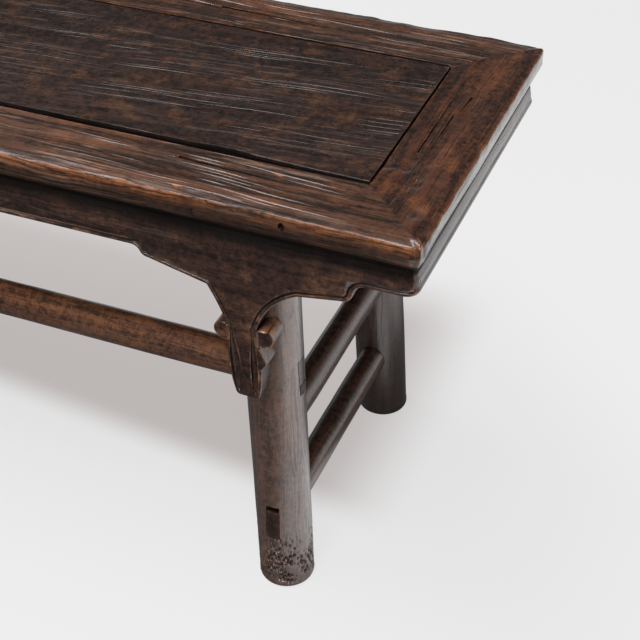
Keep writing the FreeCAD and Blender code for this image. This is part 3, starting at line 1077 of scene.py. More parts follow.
@dataclass
class SeatFrame:
    """Four mitred rails round the seat panel."""

    length: float = 1.2
    depth: float = 0.375
    width: float = 0.076
    arris: float = 0.0044
    undercut: float = 0.008
    corner: float = 0.015
    front_inner_round: float = 0.0028
    back_inner_round: float = 0.0009
    end_inner_round: float = 0.0014
    mitre_gap: float = 0.00006
    mortise_half_width: float = 0.0217
    mortise_levels: tuple[float, float] = (0.4558, 0.4672)
    long_field: tuple[float, float] = (0.1165, 0.181)
    long_field_half: float = 0.56
    end_field: tuple[float, float] = (0.532, 0.59)
    end_field_half: float = 0.16
    whole_grain: float = 0.006
    front_crack: Crack = Crack((0.462, -0.139), (0.354, -0.1355), 0.0085, 0.007)
    back_crack: Crack = Crack((0.385, 0.1433), (0.262, 0.1447), 0.0085, 0.007)
    end_cracks: tuple[Crack, ...] = (
        Crack((0.558, 0.026), (0.559, 0.06), 0.006, 0.006),
        Crack((0.5451, 0.118), (0.5466, -0.05), 0.0035, 0.005),
        Crack((0.5548, -0.05), (0.5538, 0.022), 0.004, 0.005),
    )
    patch_corners: tuple[tuple[float, float], ...] = ((0.407, 0.124), (0.466, 0.141))
    patch_depth: float = 0.0011
    knot_hole: tuple[float, float, float] = (0.474, -0.1865, 0.4675)
    knot_hole_size: tuple[float, float, float] = (0.006, 0.016, 0.0095)
    hollows: tuple[tuple[float, float], ...] = (
        (0.529, -0.077), (0.546, -0.074), (0.560, -0.096), (0.576, -0.14),
    )
    knots: tuple[tuple[float, float, float], ...] = ((0.5435, -0.0688, 0.0026), (0.5585, -0.0904, 0.0034))

    def rail(self, name: str, run: float, half_span: float, inner_round: float) -> Piece:
        """Makes a rail with its moulded edge towards -Y and both ends mitred.

        Args:
            name: Name of the rail.
            run: Its length over the mitres.
            half_span: Distance of its outer edge from the middle of the bench.
            inner_round: Worn bevel along the panel.

        Returns:
            The rail.
        """
        top = Level.SEAT
        low = Level.RAIL_UNDERSIDE
        x = -run / 2
        outer = -half_span
        inner = outer + self.width
        corner = self.arris * (1 - math.sqrt(0.5))
        heel = Vector((x, inner, low))
        toe = Vector((x, outer + self.undercut, low))
        nose = Vector((x, outer, top - self.arris))
        brow = Vector((x, outer + self.arris, top))
        pen = OutlinePen(name, heel, ALONG)
        pen.line(toe, 10)
        pen.arc(swelling_middle(nose, toe), nose)
        pen.arc(Vector((x, outer + corner, top - corner)), brow, 0.0012)
        pen.line(Vector((x, inner - inner_round, top)), 32)
        pen.line(Vector((x, inner, top - inner_round)))
        pen.line(heel, 6)
        piece = pen.solid(ALONG * run)
        for side in (1, -1):
            mitre(piece, Vector((run / 2 - self.mitre_gap * math.sqrt(2), outer, low)), side)
        return piece

    def refine(self, piece: Piece, axis: Vector, cuts: int) -> None:
        """Divides the ends of a rail more finely, where the mitre and the corner are worn."""

        def at_an_end(first: Vector, second: Vector) -> bool:
            """Says whether an edge runs along near an end."""
            middle = (first + second) / 2
            along = abs((second - first).normalized().dot(axis)) > 0.95
            return along and (abs(self.off_mitre(middle)) < 0.006 or self.off_corner(middle) < 0.026)

        pick_edges(piece, at_an_end)
        bpy.ops.mesh.subdivide(number_cuts=cuts)
        leave()

    def off_mitre(self, point: Vector) -> float:
        """Gives the distance of a point from the nearest mitre."""
        return (self.length / 2 - abs(point.x) - self.depth / 2 + abs(point.y)) / math.sqrt(2)

    def off_corner(self, point: Vector) -> float:
        """Gives the distance in plan of a point from the nearest corner."""
        return math.hypot(self.length / 2 - abs(point.x), self.depth / 2 - abs(point.y))

    def build(self, coats: Coats) -> None:
        """Makes, wears and dresses the four rails."""
        front = self.rail("seat_rail_front", self.length, self.depth / 2, self.front_inner_round)
        back = self.rail("seat_rail_back", self.length, self.depth / 2, self.back_inner_round)
        back.rotation_euler = (0, 0, math.pi)
        settle(back)
        for piece in (front, back):
            divide(piece, ALONG, (15, 15), 0.5)
        right = self.rail("seat_rail_right", self.depth, self.length / 2, self.end_inner_round)
        divide(right, ALONG, (11, 7), 0.1)
        right.rotation_euler = (0, 0, math.pi / 2)
        settle(right)
        for piece, axis in ((front, ALONG), (back, ALONG), (right, ACROSS)):
            self.refine(piece, axis, 3)
            round_plan(piece, self.length / 2, self.depth / 2, self.corner)
        left = mirrored(right, "seat_rail_left", (-1, 1))
        for piece in (front, back):
            self.wear(piece, ALONG)
        for piece in (right, left):
            self.wear(piece, ACROSS)
        self.mortises(front, -1)
        self.mortises(back, 1)
        self.cracks(front, back, right)
        self.open_grain(front, -1, 0.0046, 11)
        self.open_grain(back, 1, 0.013, 12)
        self.open_end_grain(right, 1, 13)
        self.open_end_grain(left, -1, 14)
        for piece, node, slot in (
            (front, "top_rail_front", "seat_rails"),
            (back, "top_rail_back", "seat_rails"),
            (right, "top_rail_right", "end_rails"),
            (left, "top_rail_left", "end_rails"),
        ):
            hand_over(piece, node, coats[slot], 20.0)

    def open_grain(self, piece: Piece, way: int, lane: float, seed: int) -> None:
        """Opens the grain of a long rail.

        Args:
            piece: Rail to cut.
            way: -1 for the front rail, 1 for the back rail.
            lane: Distance between neighbouring furrows.
            seed: Seed of their places.
        """
        near, far = sorted(way * edge for edge in self.long_field)
        low = Vector((-self.long_field_half, near, 0))
        high = Vector((self.long_field_half, far, 0))
        lines = Furrows(low, high, ALONG, lane, seed, slope=-0.05, width=0.0017)
        lines.cut_into(piece, lambda point: self.off_mitre(point) > self.whole_grain)

    def open_end_grain(self, piece: Piece, way: int, seed: int) -> None:
        """Opens the grain of an end rail: way is 1 for the right rail, -1 for the left one."""
        near, far = sorted(way * edge for edge in self.end_field)
        low = Vector((near, -self.end_field_half, 0))
        high = Vector((far, self.end_field_half, 0))
        lines = Furrows(low, high, ACROSS, 0.011, seed, slope=0.03)
        lines.cut_into(piece, lambda point: -self.off_mitre(point) > self.whole_grain)

    def wear(self, piece: Piece, run: Vector) -> None:
        """Wears a rail: slow waves, grain hollows, a knocked arris, hollowed mitres and lowered corners.

        Args:
            piece: Rail to wear.
            run: Direction of its grain.
        """
        along = run == ALONG
        outer = self.depth / 2 if along else self.length / 2

        def off_mitre(point: Vector) -> float:
            """Keeps the wear off the mitres."""
            return min(1.0, abs(self.off_mitre(point)) / 0.004)

        def near_arris(point: Vector) -> float:
            """Keeps the wear to the outer edge."""
            reach = abs(point.y) if along else abs(point.x)
            edge = math.hypot(outer - reach, Level.SEAT - point.z)
            return max(0.0, 1 - edge / 0.014) * off_mitre(point)

        def near_corner(point: Vector) -> float:
            """Keeps the wear to the corners."""
            return max(0.0, 1 - self.off_corner(point) / 0.05) ** 2

        def near_mitre(point: Vector) -> float:
            """Keeps the wear to the tops of the mitres."""
            return max(0.0, 1 - abs(self.off_mitre(point)) / 0.0035) * max(0.0, (point.z - 0.46) / 0.02)

        weather(piece, Relief(with_grain(run, 0.16, 0.05), 0.0014), off_mitre)
        weather(piece, Relief(with_grain(run, 0.09, 0.006), 0.0009), off_mitre)
        weather(piece, Relief((0.022,) * 3, 0.0035), near_arris)
        weather(piece, Relief((0.012,) * 3, 0.0012), near_arris)
        weather(piece, Relief((0.12,) * 3, 0.004, sinks=True), near_corner)
        weather(piece, Relief((0.03,) * 3, 0.0024, sinks=True), near_mitre)

    def mortises(self, piece: Piece, side: int) -> None:
        """Cuts the mortises of the battens' tenons through a long rail."""
        near, far = sorted(side * self.depth * share for share in (0.28, 0.6))
        floor, ceiling = self.mortise_levels
        for batten in ("left", "centre", "right"):
            low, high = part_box(f"panel_batten_{batten}")
            middle = (low.x + high.x) / 2
            start = Vector((middle - self.mortise_half_width, near, floor))
            end = Vector((middle + self.mortise_half_width, far, ceiling))
            cut(piece, block("mortise", start, end))

    def cracks(self, front: Piece, back: Piece, right: Piece) -> None:
        """Opens the drying cracks, the knots and the bed of a lost patch.

        Args:
            front: Front rail.
            back: Back rail.
            right: Right rail.
        """
        top = Level.SEAT
        self.front_crack.cut_into(front, top)
        self.back_crack.cut_into(back, top)
        for crack in self.end_cracks:
            crack.cut_into(right, top)
        low, high = self.patch_corners
        bed = block("patch", Vector((*low, top - self.patch_depth)), Vector((*high, top + 0.01)))
        cut(back, bed)
        dent(front, Vector(self.knot_hole), Vector(self.knot_hole_size))
        for place in self.hollows:
            pull(right, Vector((*place, top - 0.0012)), UP * -0.0018, 0.010, 0.0035)
        for x, y, size in self.knots:
            dent(right, Vector((x, y, top - 0.002)), Vector((size, size * 1.3, 0.004)))


@dataclass
class SeatPanel:
    """Floating panel in the seat frame, shrunk away from the front rail.

    The bends of the front edge are given as place along the panel, shift and reach.
    """

    half_length: float = 0.5235
    front: float = -0.1072
    back: float = 0.111
    top: float = 0.4792
    thickness: float = 0.015
    tongue_length: float = 0.008
    tongue_thickness: float = 0.002
    lip: float = 0.0072
    arris: float = 0.0018
    back_arris: float = 0.001
    bends: tuple[tuple[float, float, float], ...] = (
        (0.30, 0.0012, 0.26),
        (0.384, 0.0022, 0.035),
        (0.52, -0.0019, 0.13),
    )
    cracks: tuple[Crack, ...] = (
        Crack((0.118, -0.0432), (0.224, -0.0372), 0.001, 0.003),
        Crack((0.213, -0.0391), (0.325, -0.0213), 0.0011, 0.003),
        Crack((0.322, -0.022), (0.4365, -0.0075), 0.001, 0.004),
        Crack((0.43, -0.0082), (0.5225, 0.0018), 0.0018, 0.006),
    )

    def board(self) -> Piece:
        """Makes the panel with its tongues, divided for wear."""
        x = -self.half_length
        low = self.top - self.thickness
        tongue_top = self.top - self.lip
        tongue_low = tongue_top - self.tongue_thickness
        pen = OutlinePen("seat_board", Vector((x, self.front, low)), ALONG)
        for sign, edge, levels in (
            (-1, self.front, (tongue_low, tongue_top)),
            (1, self.back, (tongue_top, tongue_low)),
        ):
            tip = edge + sign * self.tongue_length
            pen.line(Vector((x, edge, levels[0])))
            pen.line(Vector((x, tip, levels[0])))
            pen.line(Vector((x, tip, levels[1])))
            pen.line(Vector((x, edge, levels[1])))
            if sign < 0:
                corner = self.arris * (1 - math.sqrt(0.5))
                pen.line(Vector((x, edge, self.top - self.arris)))
                brow = Vector((x, edge + self.arris, self.top))
                pen.arc(Vector((x, edge + corner, self.top - corner)), brow, 0.0006)
                pen.line(Vector((x, self.back - self.back_arris, self.top)), 88)
                pen.line(Vector((x, self.back, self.top - self.back_arris)))
        pen.line(Vector((x, self.back, low)))
        pen.line(Vector((x, self.front, low)), 20)
        piece = pen.solid(ALONG * 2 * self.half_length)
        divide(piece, ALONG, (15, 15), 0.5)
        return piece

    def build(self, finish: bpy.types.Material) -> None:
        """Makes, wears and dresses the panel."""
        piece = self.board()
        top = self.top
        for x, shift, reach in self.bends:
            pull(piece, Vector((x, self.front, top)), ACROSS * shift, reach, 0.006)
        weather(piece, Relief(with_grain(ALONG, 0.2, 0.06), 0.0014))
        weather(piece, Relief(with_grain(ALONG, 0.11, 0.007), 0.0008))
        pull(piece, Vector((0.367, 0.087, top - 0.001)), UP * -0.0016, 0.009, 0.0035)
        dent(piece, Vector((0.366, 0.089, top - 0.002)), Vector((0.0046, 0.0036, 0.005)))
        for crack in self.cracks:
            crack.cut_into(piece, top)
        low = Vector((-0.5, self.front + 0.032, top))
        high = Vector((0.515, self.back - 0.02, top))
        lines = Furrows(low, high, ALONG, 0.0036, 5, slope=0.09, width=0.0012, depth=0.0004, clear=0.08)
        lines.cut_into(piece)
        hand_over(piece, "top_panel", finish, 20.0)


@dataclass
class Aprons:
    """Aprons under the seat frame; the long ones hang down in carved spandrels over the legs.

    Points of the spandrel are given as reach from its upright line and drop below the rail.
    """

    axis: LegAxis
    half_length: float = 0.6
    half_depth: float = 0.1875
    gap_height: float = 0.0052
    gap_depth: float = 0.0032
    top_inset: float = 0.0155
    inset: float = 0.008
    bulge_drop: float = 0.022
    thickness: float = 0.024
    drop: float = 0.0423
    end_drop: float = 0.0295
    spandrel_shift: float = 0.0074
    neck: float = 0.0146
    lobe_reach: float = 0.019
    lobe_radius: float = 0.0105
    lobe_drop: float = 0.1155
    barb_drop: float = 0.1435
    waist: float = 0.0162
    waist_drop: float = 0.151
    tip: float = 0.0125
    tip_drop: float = 0.187
    tip_round: float = 0.005
    bead_width: float = 0.0048
    groove_radius: float = 0.0013
    lobe_set_back: float = 0.003
    edge_round: float = 0.0017
    corner: float = 0.013
    outer_shoulder: float = 0.121
    outer_ogee_end: tuple[float, float] = (0.097, 0.050)
    outer_arch: tuple[float, float] = (0.057, 0.0565)
    outer_arch_middle: tuple[float, float] = (0.0256, 0.0825)
    outer_barb: float = 0.022
    inner_barb: float = 0.017
    inner_arch: tuple[float, float] = (-0.0308, 0.0665)
    inner_arch_middle: tuple[float, float] = (-0.0205, 0.089)
    inner_ogee_start: tuple[float, float] = (-0.087, 0.053)
    inner_shoulder: float = -0.103
    overrun: float = 0.02
    bore_radius: float = 0.0023

    @property
    def face(self) -> float:
        """Y of the front apron's face."""
        return self.inset - self.half_depth

    def point(self, reach: float, drop: float) -> Vector:
        """Gives a point of the spandrel in the plane of the apron's face."""
        level = Level.RAIL_UNDERSIDE - drop
        return Vector((self.axis.at(level).x - self.spandrel_shift + reach, self.face, level))

    @staticmethod
    def ogee(start: Vector, end: Vector) -> list[Stroke]:
        """Gives two equal arcs that leave and arrive level."""
        run = end.x - start.x
        rise = end.z - start.z
        turn = 2 * math.atan2(abs(rise), abs(run))
        radius = math.hypot(run, rise) / 4 / math.sin(turn / 2)
        offset = Vector((
            math.copysign(radius * math.sin(turn / 2), run),
            0,
            math.copysign(radius * (1 - math.cos(turn / 2)), rise),
        ))
        middle = (start + end) / 2
        return [(middle, start + offset), (end, end - offset)]

    def tongue_side(self, side: int, barb: float) -> list[Stroke]:
        """Gives one side of the hanging tongue, from its neck down to its tip.

        Args:
            side: 1 for the outer side, -1 for the inner side.
            barb: Reach of the barb.

        Returns:
            Points, each with a point on the arc that leads to it, or None for a line.
        """
        overlap = math.sqrt(self.lobe_radius**2 - (self.lobe_reach - self.neck) ** 2)
        corner = self.tip_round * (1 - math.sqrt(0.5))
        taper = (self.waist + self.tip) / 2 + (self.waist - self.tip) / 4
        taper_drop = (self.waist_drop + self.tip_drop - self.tip_round) / 2
        return [
            (self.point(side * self.neck, self.lobe_drop - overlap), None),
            (
                self.point(side * self.neck, self.lobe_drop + overlap),
                self.point(side * (self.lobe_reach + self.lobe_radius), self.lobe_drop),
            ),
            (self.point(side * barb, self.barb_drop), None),
            (self.point(side * self.waist, self.waist_drop), None),
            (
                self.point(side * self.tip, self.tip_drop - self.tip_round),
                self.point(side * taper, taper_drop),
            ),
            (
                self.point(side * (self.tip - self.tip_round), self.tip_drop),
                self.point(side * (self.tip - corner), self.tip_drop - corner),
            ),
        ]

    def half_outline(self) -> list[Stroke]:
        """Gives the right half of a long apron, from the top middle round to the low middle.

        Returns:
            Points, each with a point on the arc that leads to it, or None for a line.
        """
        top = Level.RAIL_UNDERSIDE
        over = self.half_length + self.overrun
        outer = self.tongue_side(1, self.outer_barb)
        inner = self.tongue_side(-1, self.inner_barb)
        path = [
            (Vector((0, self.face, top)), None),
            (Vector((over, self.face, top)), None),
            (Vector((over, self.face, top - self.end_drop)), None),
            (self.point(self.outer_shoulder, self.end_drop), None),
        ]
        path += self.ogee(path[-1][0], self.point(*self.outer_ogee_end))
        path.append((self.point(*self.outer_arch), None))
        path.append((outer[0][0], self.point(*self.outer_arch_middle)))
        path += outer[1:]
        path.append((inner[-1][0], None))
        for index in range(len(inner) - 1, 0, -1):
            path.append((inner[index - 1][0], inner[index][1]))
        path.append((self.point(*self.inner_arch), self.point(*self.inner_arch_middle)))
        path.append((self.point(*self.inner_ogee_start), None))
        path += self.ogee(path[-1][0], self.point(self.inner_shoulder, self.drop))
        path.append((Vector((0, self.face, top - self.drop)), None))
        return path

    def long_apron(self) -> Piece:
        """Makes the front apron: outline, bead, cushioned face and flutes.

        Returns:
            The apron, mitred at both ends.
        """
        half = self.half_outline()
        image = Matrix.Diagonal((-1, 1, 1))
        pen = OutlinePen("apron_long_front", half[0][0], ACROSS)
        for end, middle in half[1:]:
            pen.stroke(end, middle)
        for index in range(len(half) - 1, 0, -1):
            middle = half[index][1]
            pen.stroke(image @ half[index - 1][0], middle and image @ middle)
        piece = pen.solid(ACROSS * self.thickness)
        pick_edges(piece, lambda first, second: max(first.y, second.y) < self.face + 0.0001)
        bpy.ops.mesh.bevel(offset=self.edge_round, segments=3, affect="EDGES")
        leave()
        cut(piece, self.plane_iron())
        cut(piece, self.shadow_gap(self.half_length, self.half_depth))
        for side in (1, -1):
            for chain in self.arches(half):
                cut(piece, self.groove(side, chain))
            for flute in (1, -1):
                cut(piece, self.flute(side, flute))
                cut(piece, self.lobe_room(side, flute))
            mitre(piece, Vector((self.half_length, -self.half_depth, 0)), side)
        return piece

    def round_corners(self, piece: Piece, axis: Vector) -> None:
        """Slices the ends of an apron and rounds its outer corners in plan."""
        end = (self.half_length if axis == ALONG else self.half_depth) - self.inset
        places = [end - self.corner * (1 - 0.1 * step) for step in range(10)]
        slice_at(piece, [(axis, side * place) for place in places for side in (1, -1)])
        round_plan(piece, self.half_length - self.inset, self.half_depth - self.inset, self.corner)

    def slice_up(self, piece: Piece) -> None:
        """Slices the spandrels of a long apron finely, so that wear and painted shade keep to their edges.
        """
        middle = self.point(0, self.lobe_drop).x
        planes = [(UP, 0.2645 + 0.003 * step) for step in range(62)]
        for side in (1, -1):
            planes += [(ALONG, side * (middle + 0.002 * step)) for step in range(-16, 17)]
            for step in range(3, 10):
                planes += [(ALONG, side * (middle + way * 0.012 * step)) for way in (1, -1)]
        slice_at(piece, planes)

    @staticmethod
    def arches(half: list[Stroke]) -> list[list[Stroke]]:
        """Gives the two runs of the outline that a carved line follows, one on each side of the tongue."""
        return [half[2:8], half[-6:]]

    def beside(self, start: Vector, stroke: Stroke) -> tuple[Vector, Stroke]:
        """Moves a stroke of the outline inwards by the bead's width.

        Args:
            start: Where the stroke starts.
            stroke: Its end and, for an arc, a point on the way.

        Returns:
            The new start and the new stroke.
        """
        end, middle = stroke
        if middle is None:
            run = (end - start).normalized()
            shift = Vector((run.z, 0, -run.x)) * self.bead_width
            return start + shift, (end + shift, None)
        centre = OutlinePen.centre(start, middle, end)
        spoke = (start - centre).normalized()
        run = (middle - start) - spoke * (middle - start).dot(spoke)
        shift = math.copysign(self.bead_width, run.z * spoke.x - run.x * spoke.z)
        share = 1 + shift / (start - centre).length
        moved = [centre + (point - centre) * share for point in (start, middle, end)]
        return moved[0], (moved[2], moved[1])

    def groove(self, side: int, chain: list[Stroke]) -> Piece:
        """Makes the cutter of the line incised along an arch.

        Args:
            side: 1 for the right end of the apron, -1 for the left.
            chain: Strokes of the outline, the first of which only says where to start.

        Returns:
            The cutter, a thin bent rod.
        """
        first, _ = self.beside(chain[0][0], chain[1])
        pen = OutlinePen("groove", first, ACROSS)
        place = chain[0][0]
        for stroke in chain[1:]:
            start, (end, middle) = self.beside(place, stroke)
            if (start - pen.point).length > 0.0001:
                pen.line(start)
            pen.stroke(end, middle)
            place = stroke[0]
        leave()
        tool = pen.piece
        bpy.ops.object.convert(target="CURVE")
        tool.data.bevel_depth = self.groove_radius
        tool.data.bevel_resolution = 1
        tool.data.use_fill_caps = True
        bpy.ops.object.convert(target="MESH")
        return flip(tool, (side, 1))

    def lobe_room(self, side: int, way: int) -> Piece:
        """Makes the cutter that sets the front of a lobe back behind the tongue.

        Args:
            side: 1 for the right end of the apron, -1 for the left.
            way: 1 for the outer lobe, -1 for the inner one.

        Returns:
            The cutter.
        """
        ends = [self.point(way * self.neck * 1.04, 0.1062), self.point(way * 0.034, 0.1275)]
        xs = sorted(side * end.x for end in ends)
        low = Vector((xs[0], self.face - 0.01, ends[1].z))
        return block("lobe_room", low, Vector((xs[1], self.face + self.lobe_set_back, ends[0].z)))

    def shadow_gap(self, half_run: float, reach: float) -> Piece:
        """Makes the cutter of the narrow step under the rail, where an apron stands back.

        Args:
            half_run: Half the length of the apron.
            reach: Distance of the rail's outer edge from the middle of the bench.

        Returns:
            The cutter.
        """
        top = Level.RAIL_UNDERSIDE
        low = Vector((-1.1 * half_run, -reach - 0.01, top - self.gap_height))
        high = Vector((1.1 * half_run, -reach + self.top_inset + self.gap_depth, top + 0.002))
        return block("shadow_gap", low, high)

    def plane_iron(self) -> Piece:
        """Makes the cutter that leans the upper part of the face back."""
        x = -self.half_length - 0.05
        top = Level.RAIL_UNDERSIDE
        start = Vector((x, self.face, top - self.bulge_drop))
        crest = Vector((x, self.top_inset - self.half_depth, top))
        pen = OutlinePen("plane_iron", start, ALONG)
        pen.arc(swelling_middle(crest, start), crest)
        pen.line(crest + UP * 0.01)
        pen.line(Vector((x, self.face - 0.02, top + 0.01)))
        pen.line(Vector((x, self.face - 0.02, top - self.bulge_drop)))
        return pen.solid(ALONG * (2 * self.half_length + 0.1))

    def flute(self, side: int, way: int) -> Piece:
        """Makes the cutter of one S-shaped flute of a tongue.

        Args:
            side: 1 for the right end of the apron, -1 for the left.
            way: 1 for the outer flute, -1 for the inner one.

        Returns:
            The cutter.
        """
        inner = (
            (0.0100, 0.104, 0.0026, 0.0013),
            (0.0104, 0.116, 0.0034, 0.0016),
            (0.0103, 0.126, 0.0060, 0.0028),
            (0.0098, 0.136, 0.0086, 0.0042),
            (0.0093, 0.150, 0.0100, 0.0052),
            (0.0091, 0.163, 0.0092, 0.0048),
            (0.0088, 0.174, 0.0064, 0.0030),
            (0.0084, 0.182, 0.0034, 0.0012),
        )
        outer = (
            (0.0100, 0.104, 0.0026, 0.0013),
            (0.0102, 0.116, 0.0030, 0.0016),
            (0.0100, 0.128, 0.0048, 0.0026),
            (0.0096, 0.140, 0.0066, 0.0038),
            (0.0093, 0.151, 0.0070, 0.0044),
            (0.0090, 0.163, 0.0066, 0.0042),
            (0.0086, 0.174, 0.0052, 0.0028),
            (0.0082, 0.182, 0.0030, 0.0012),
        )
        place = Vector((0, 0, 0))
        size = 0.0
        for index, (reach, drop, width, depth) in enumerate(outer if way > 0 else inner):
            radius = (width**2 / 4 + depth**2) / (2 * depth)
            centre = self.point(way * reach, drop)
            centre.x *= side
            centre.y += depth - radius
            if index == 0:
                bpy.ops.mesh.primitive_circle_add(
                    vertices=32, radius=radius, location=centre, fill_type="NGON"
                )
                tool = fresh("flute")
                pick_all(tool)
            else:
                bpy.ops.mesh.extrude_region_move(TRANSFORM_OT_translate={"value": centre - place})
                grow = radius / size
                bpy.ops.transform.resize(value=(grow, grow, 1), center_override=centre)
            place = centre
            size = radius
        leave()
        face_outwards(tool)
        return tool

    def end_apron(self) -> Piece:
        """Makes the right apron across the end, with a bead along its lower edge.

        Returns:
            The apron, mitred at both ends.
        """
        x = -self.half_depth
        outer = -self.half_length
        top = Level.RAIL_UNDERSIDE
        low = top - self.end_drop
        face = outer + self.inset
        field = face + 0.0012
        crest = Vector((x, outer + self.top_inset, top))
        bulge = Vector((x, field, low + self.bead_width + 0.0012))
        pen = OutlinePen("apron_end_right", crest, ALONG)
        pen.arc(swelling_middle(crest, bulge), bulge)
        pen.line(Vector((x, face + 0.0002, low + self.bead_width)))
        pen.arc(Vector((x, face, low + self.bead_width * 0.6)), Vector((x, face + 0.0012, low)), 0.001)
        pen.line(Vector((x, face + self.thickness, low)), 8)
        pen.line(Vector((x, face + self.thickness, top)), 8)
        piece = pen.solid(ALONG * 2 * self.half_depth)
        cut(piece, self.shadow_gap(self.half_depth, self.half_length))
        for side in (1, -1):
            mitre(piece, Vector((self.half_depth, outer, 0)), side)
        divide(piece, ALONG, (11, 7), 0.1)
        piece.rotation_euler = (0, 0, math.pi / 2)
        settle(piece)
        return piece

    def build(self, coats: Coats) -> None:
        """Makes, wears and dresses the aprons."""
        front = self.long_apron()
        self.slice_up(front)
        right = self.end_apron()
        for piece, axis in ((front, ALONG), (right, ACROSS)):
            self.round_corners(piece, axis)
            self.peg_holes(piece)
            modify(piece, "WEIGHTED_NORMAL", keep_sharp=True)
        back = mirrored(front, "apron_long_back", (1, -1))
        left = mirrored(right, "apron_end_left", (-1, 1))
        for piece, node, slot in (
            (front, "apron_front", "aprons"),
            (back, "apron_back", "aprons"),
            (right, "apron_right", "end_aprons"),
            (left, "apron_left", "end_aprons"),
        ):
            hand_over(piece, node, coats[slot])

    def peg_holes(self, piece: Piece) -> None:
        """Bores the holes of the pegs that hold the mitres, where they meet this apron."""
        low = Vector(piece.bound_box[0])
        high = Vector(piece.bound_box[6])
        for start, end in zip(peg_spots(self.half_length + 0.02), peg_spots(self.half_length - 0.05)):
            middle = (start + end) / 2
            if low.x < middle.x < high.x and low.y < middle.y < high.y:
                cut(piece, rod("bore", start, end, self.bore_radius, 16))


@dataclass(frozen=True)
class Tenons:
    """Through tenons of the stretchers in the front right leg, and the rooms of their wedges."""

    axis: LegAxis
    overshoot: float = 0.02
    long_half_width: float = 0.006
    long_half_height: float = 0.014
    long_lift: float = 0.004
    side_half_width: float = 0.007
    side_half_height: float = 0.017
    wedge_depth: float = 0.036
    wedge_run: float = 0.046
    wedge_tip: float = 0.0022
    wedge_head: float = 0.0148
    slot_height: float = 0.013
    slot_run: float = 0.04

    def long(self, grow: float) -> Piece:
        """Makes the front stretcher's tenon, or with grow its mortise."""
        centre = self.axis.at(Level.LONG_STRETCHER) + UP * self.long_lift
        reach = self.axis.radius + self.overshoot
        half = Vector((reach, self.long_half_width + grow, self.long_half_height + grow))
        return block("long_tenon", centre - half, centre + half)

    def side(self, level: float, grow: float) -> Piece:
        """Makes a right side stretcher's tenon, or with grow its mortise."""
        centre = self.axis.at(level)
        reach = self.axis.radius + self.overshoot
        half = Vector((self.side_half_width + grow, reach, self.side_half_height + grow))
        return block("side_tenon", centre - half, centre + half)

    def wedge_room(self, grow: float) -> Piece:
        """Makes the room of the wedge under the front stretcher's tenon."""
        centre = self.axis.at(Level.LONG_STRETCHER)
        outer = centre.x + self.axis.radius
        top = Level.LONG_STRETCHER + self.long_lift - self.long_half_height
        start = Vector((outer - self.wedge_depth, centre.y - self.long_half_width - grow, top))
        pen = OutlinePen("wedge_room", start, ACROSS)
        pen.line(start + Vector((self.wedge_run, 0, 0)))
        pen.line(start + Vector((self.wedge_run, 0, -self.wedge_head)))
        pen.line(start + Vector((0, 0, -self.wedge_tip)))
        return pen.solid(ACROSS * 2 * (self.long_half_width + grow))

    def open_slot(self) -> Piece:
        """Makes the empty wedge slot over the lower side stretcher's tenon."""
        centre = self.axis.at(Level.LOWER_SIDE)
        outer = centre.y - self.axis.radius
        top = Level.LOWER_SIDE + self.side_half_height
        start = Vector((centre.x - self.side_half_width, outer - 0.01, top - 0.001))
        pen = OutlinePen("wedge_slot", start, ALONG)
        pen.line(start + Vector((0, 0, self.slot_height)))
        pen.line(start + Vector((0, self.slot_run, 0)))
        return pen.solid(ALONG * 2 * self.side_half_width)


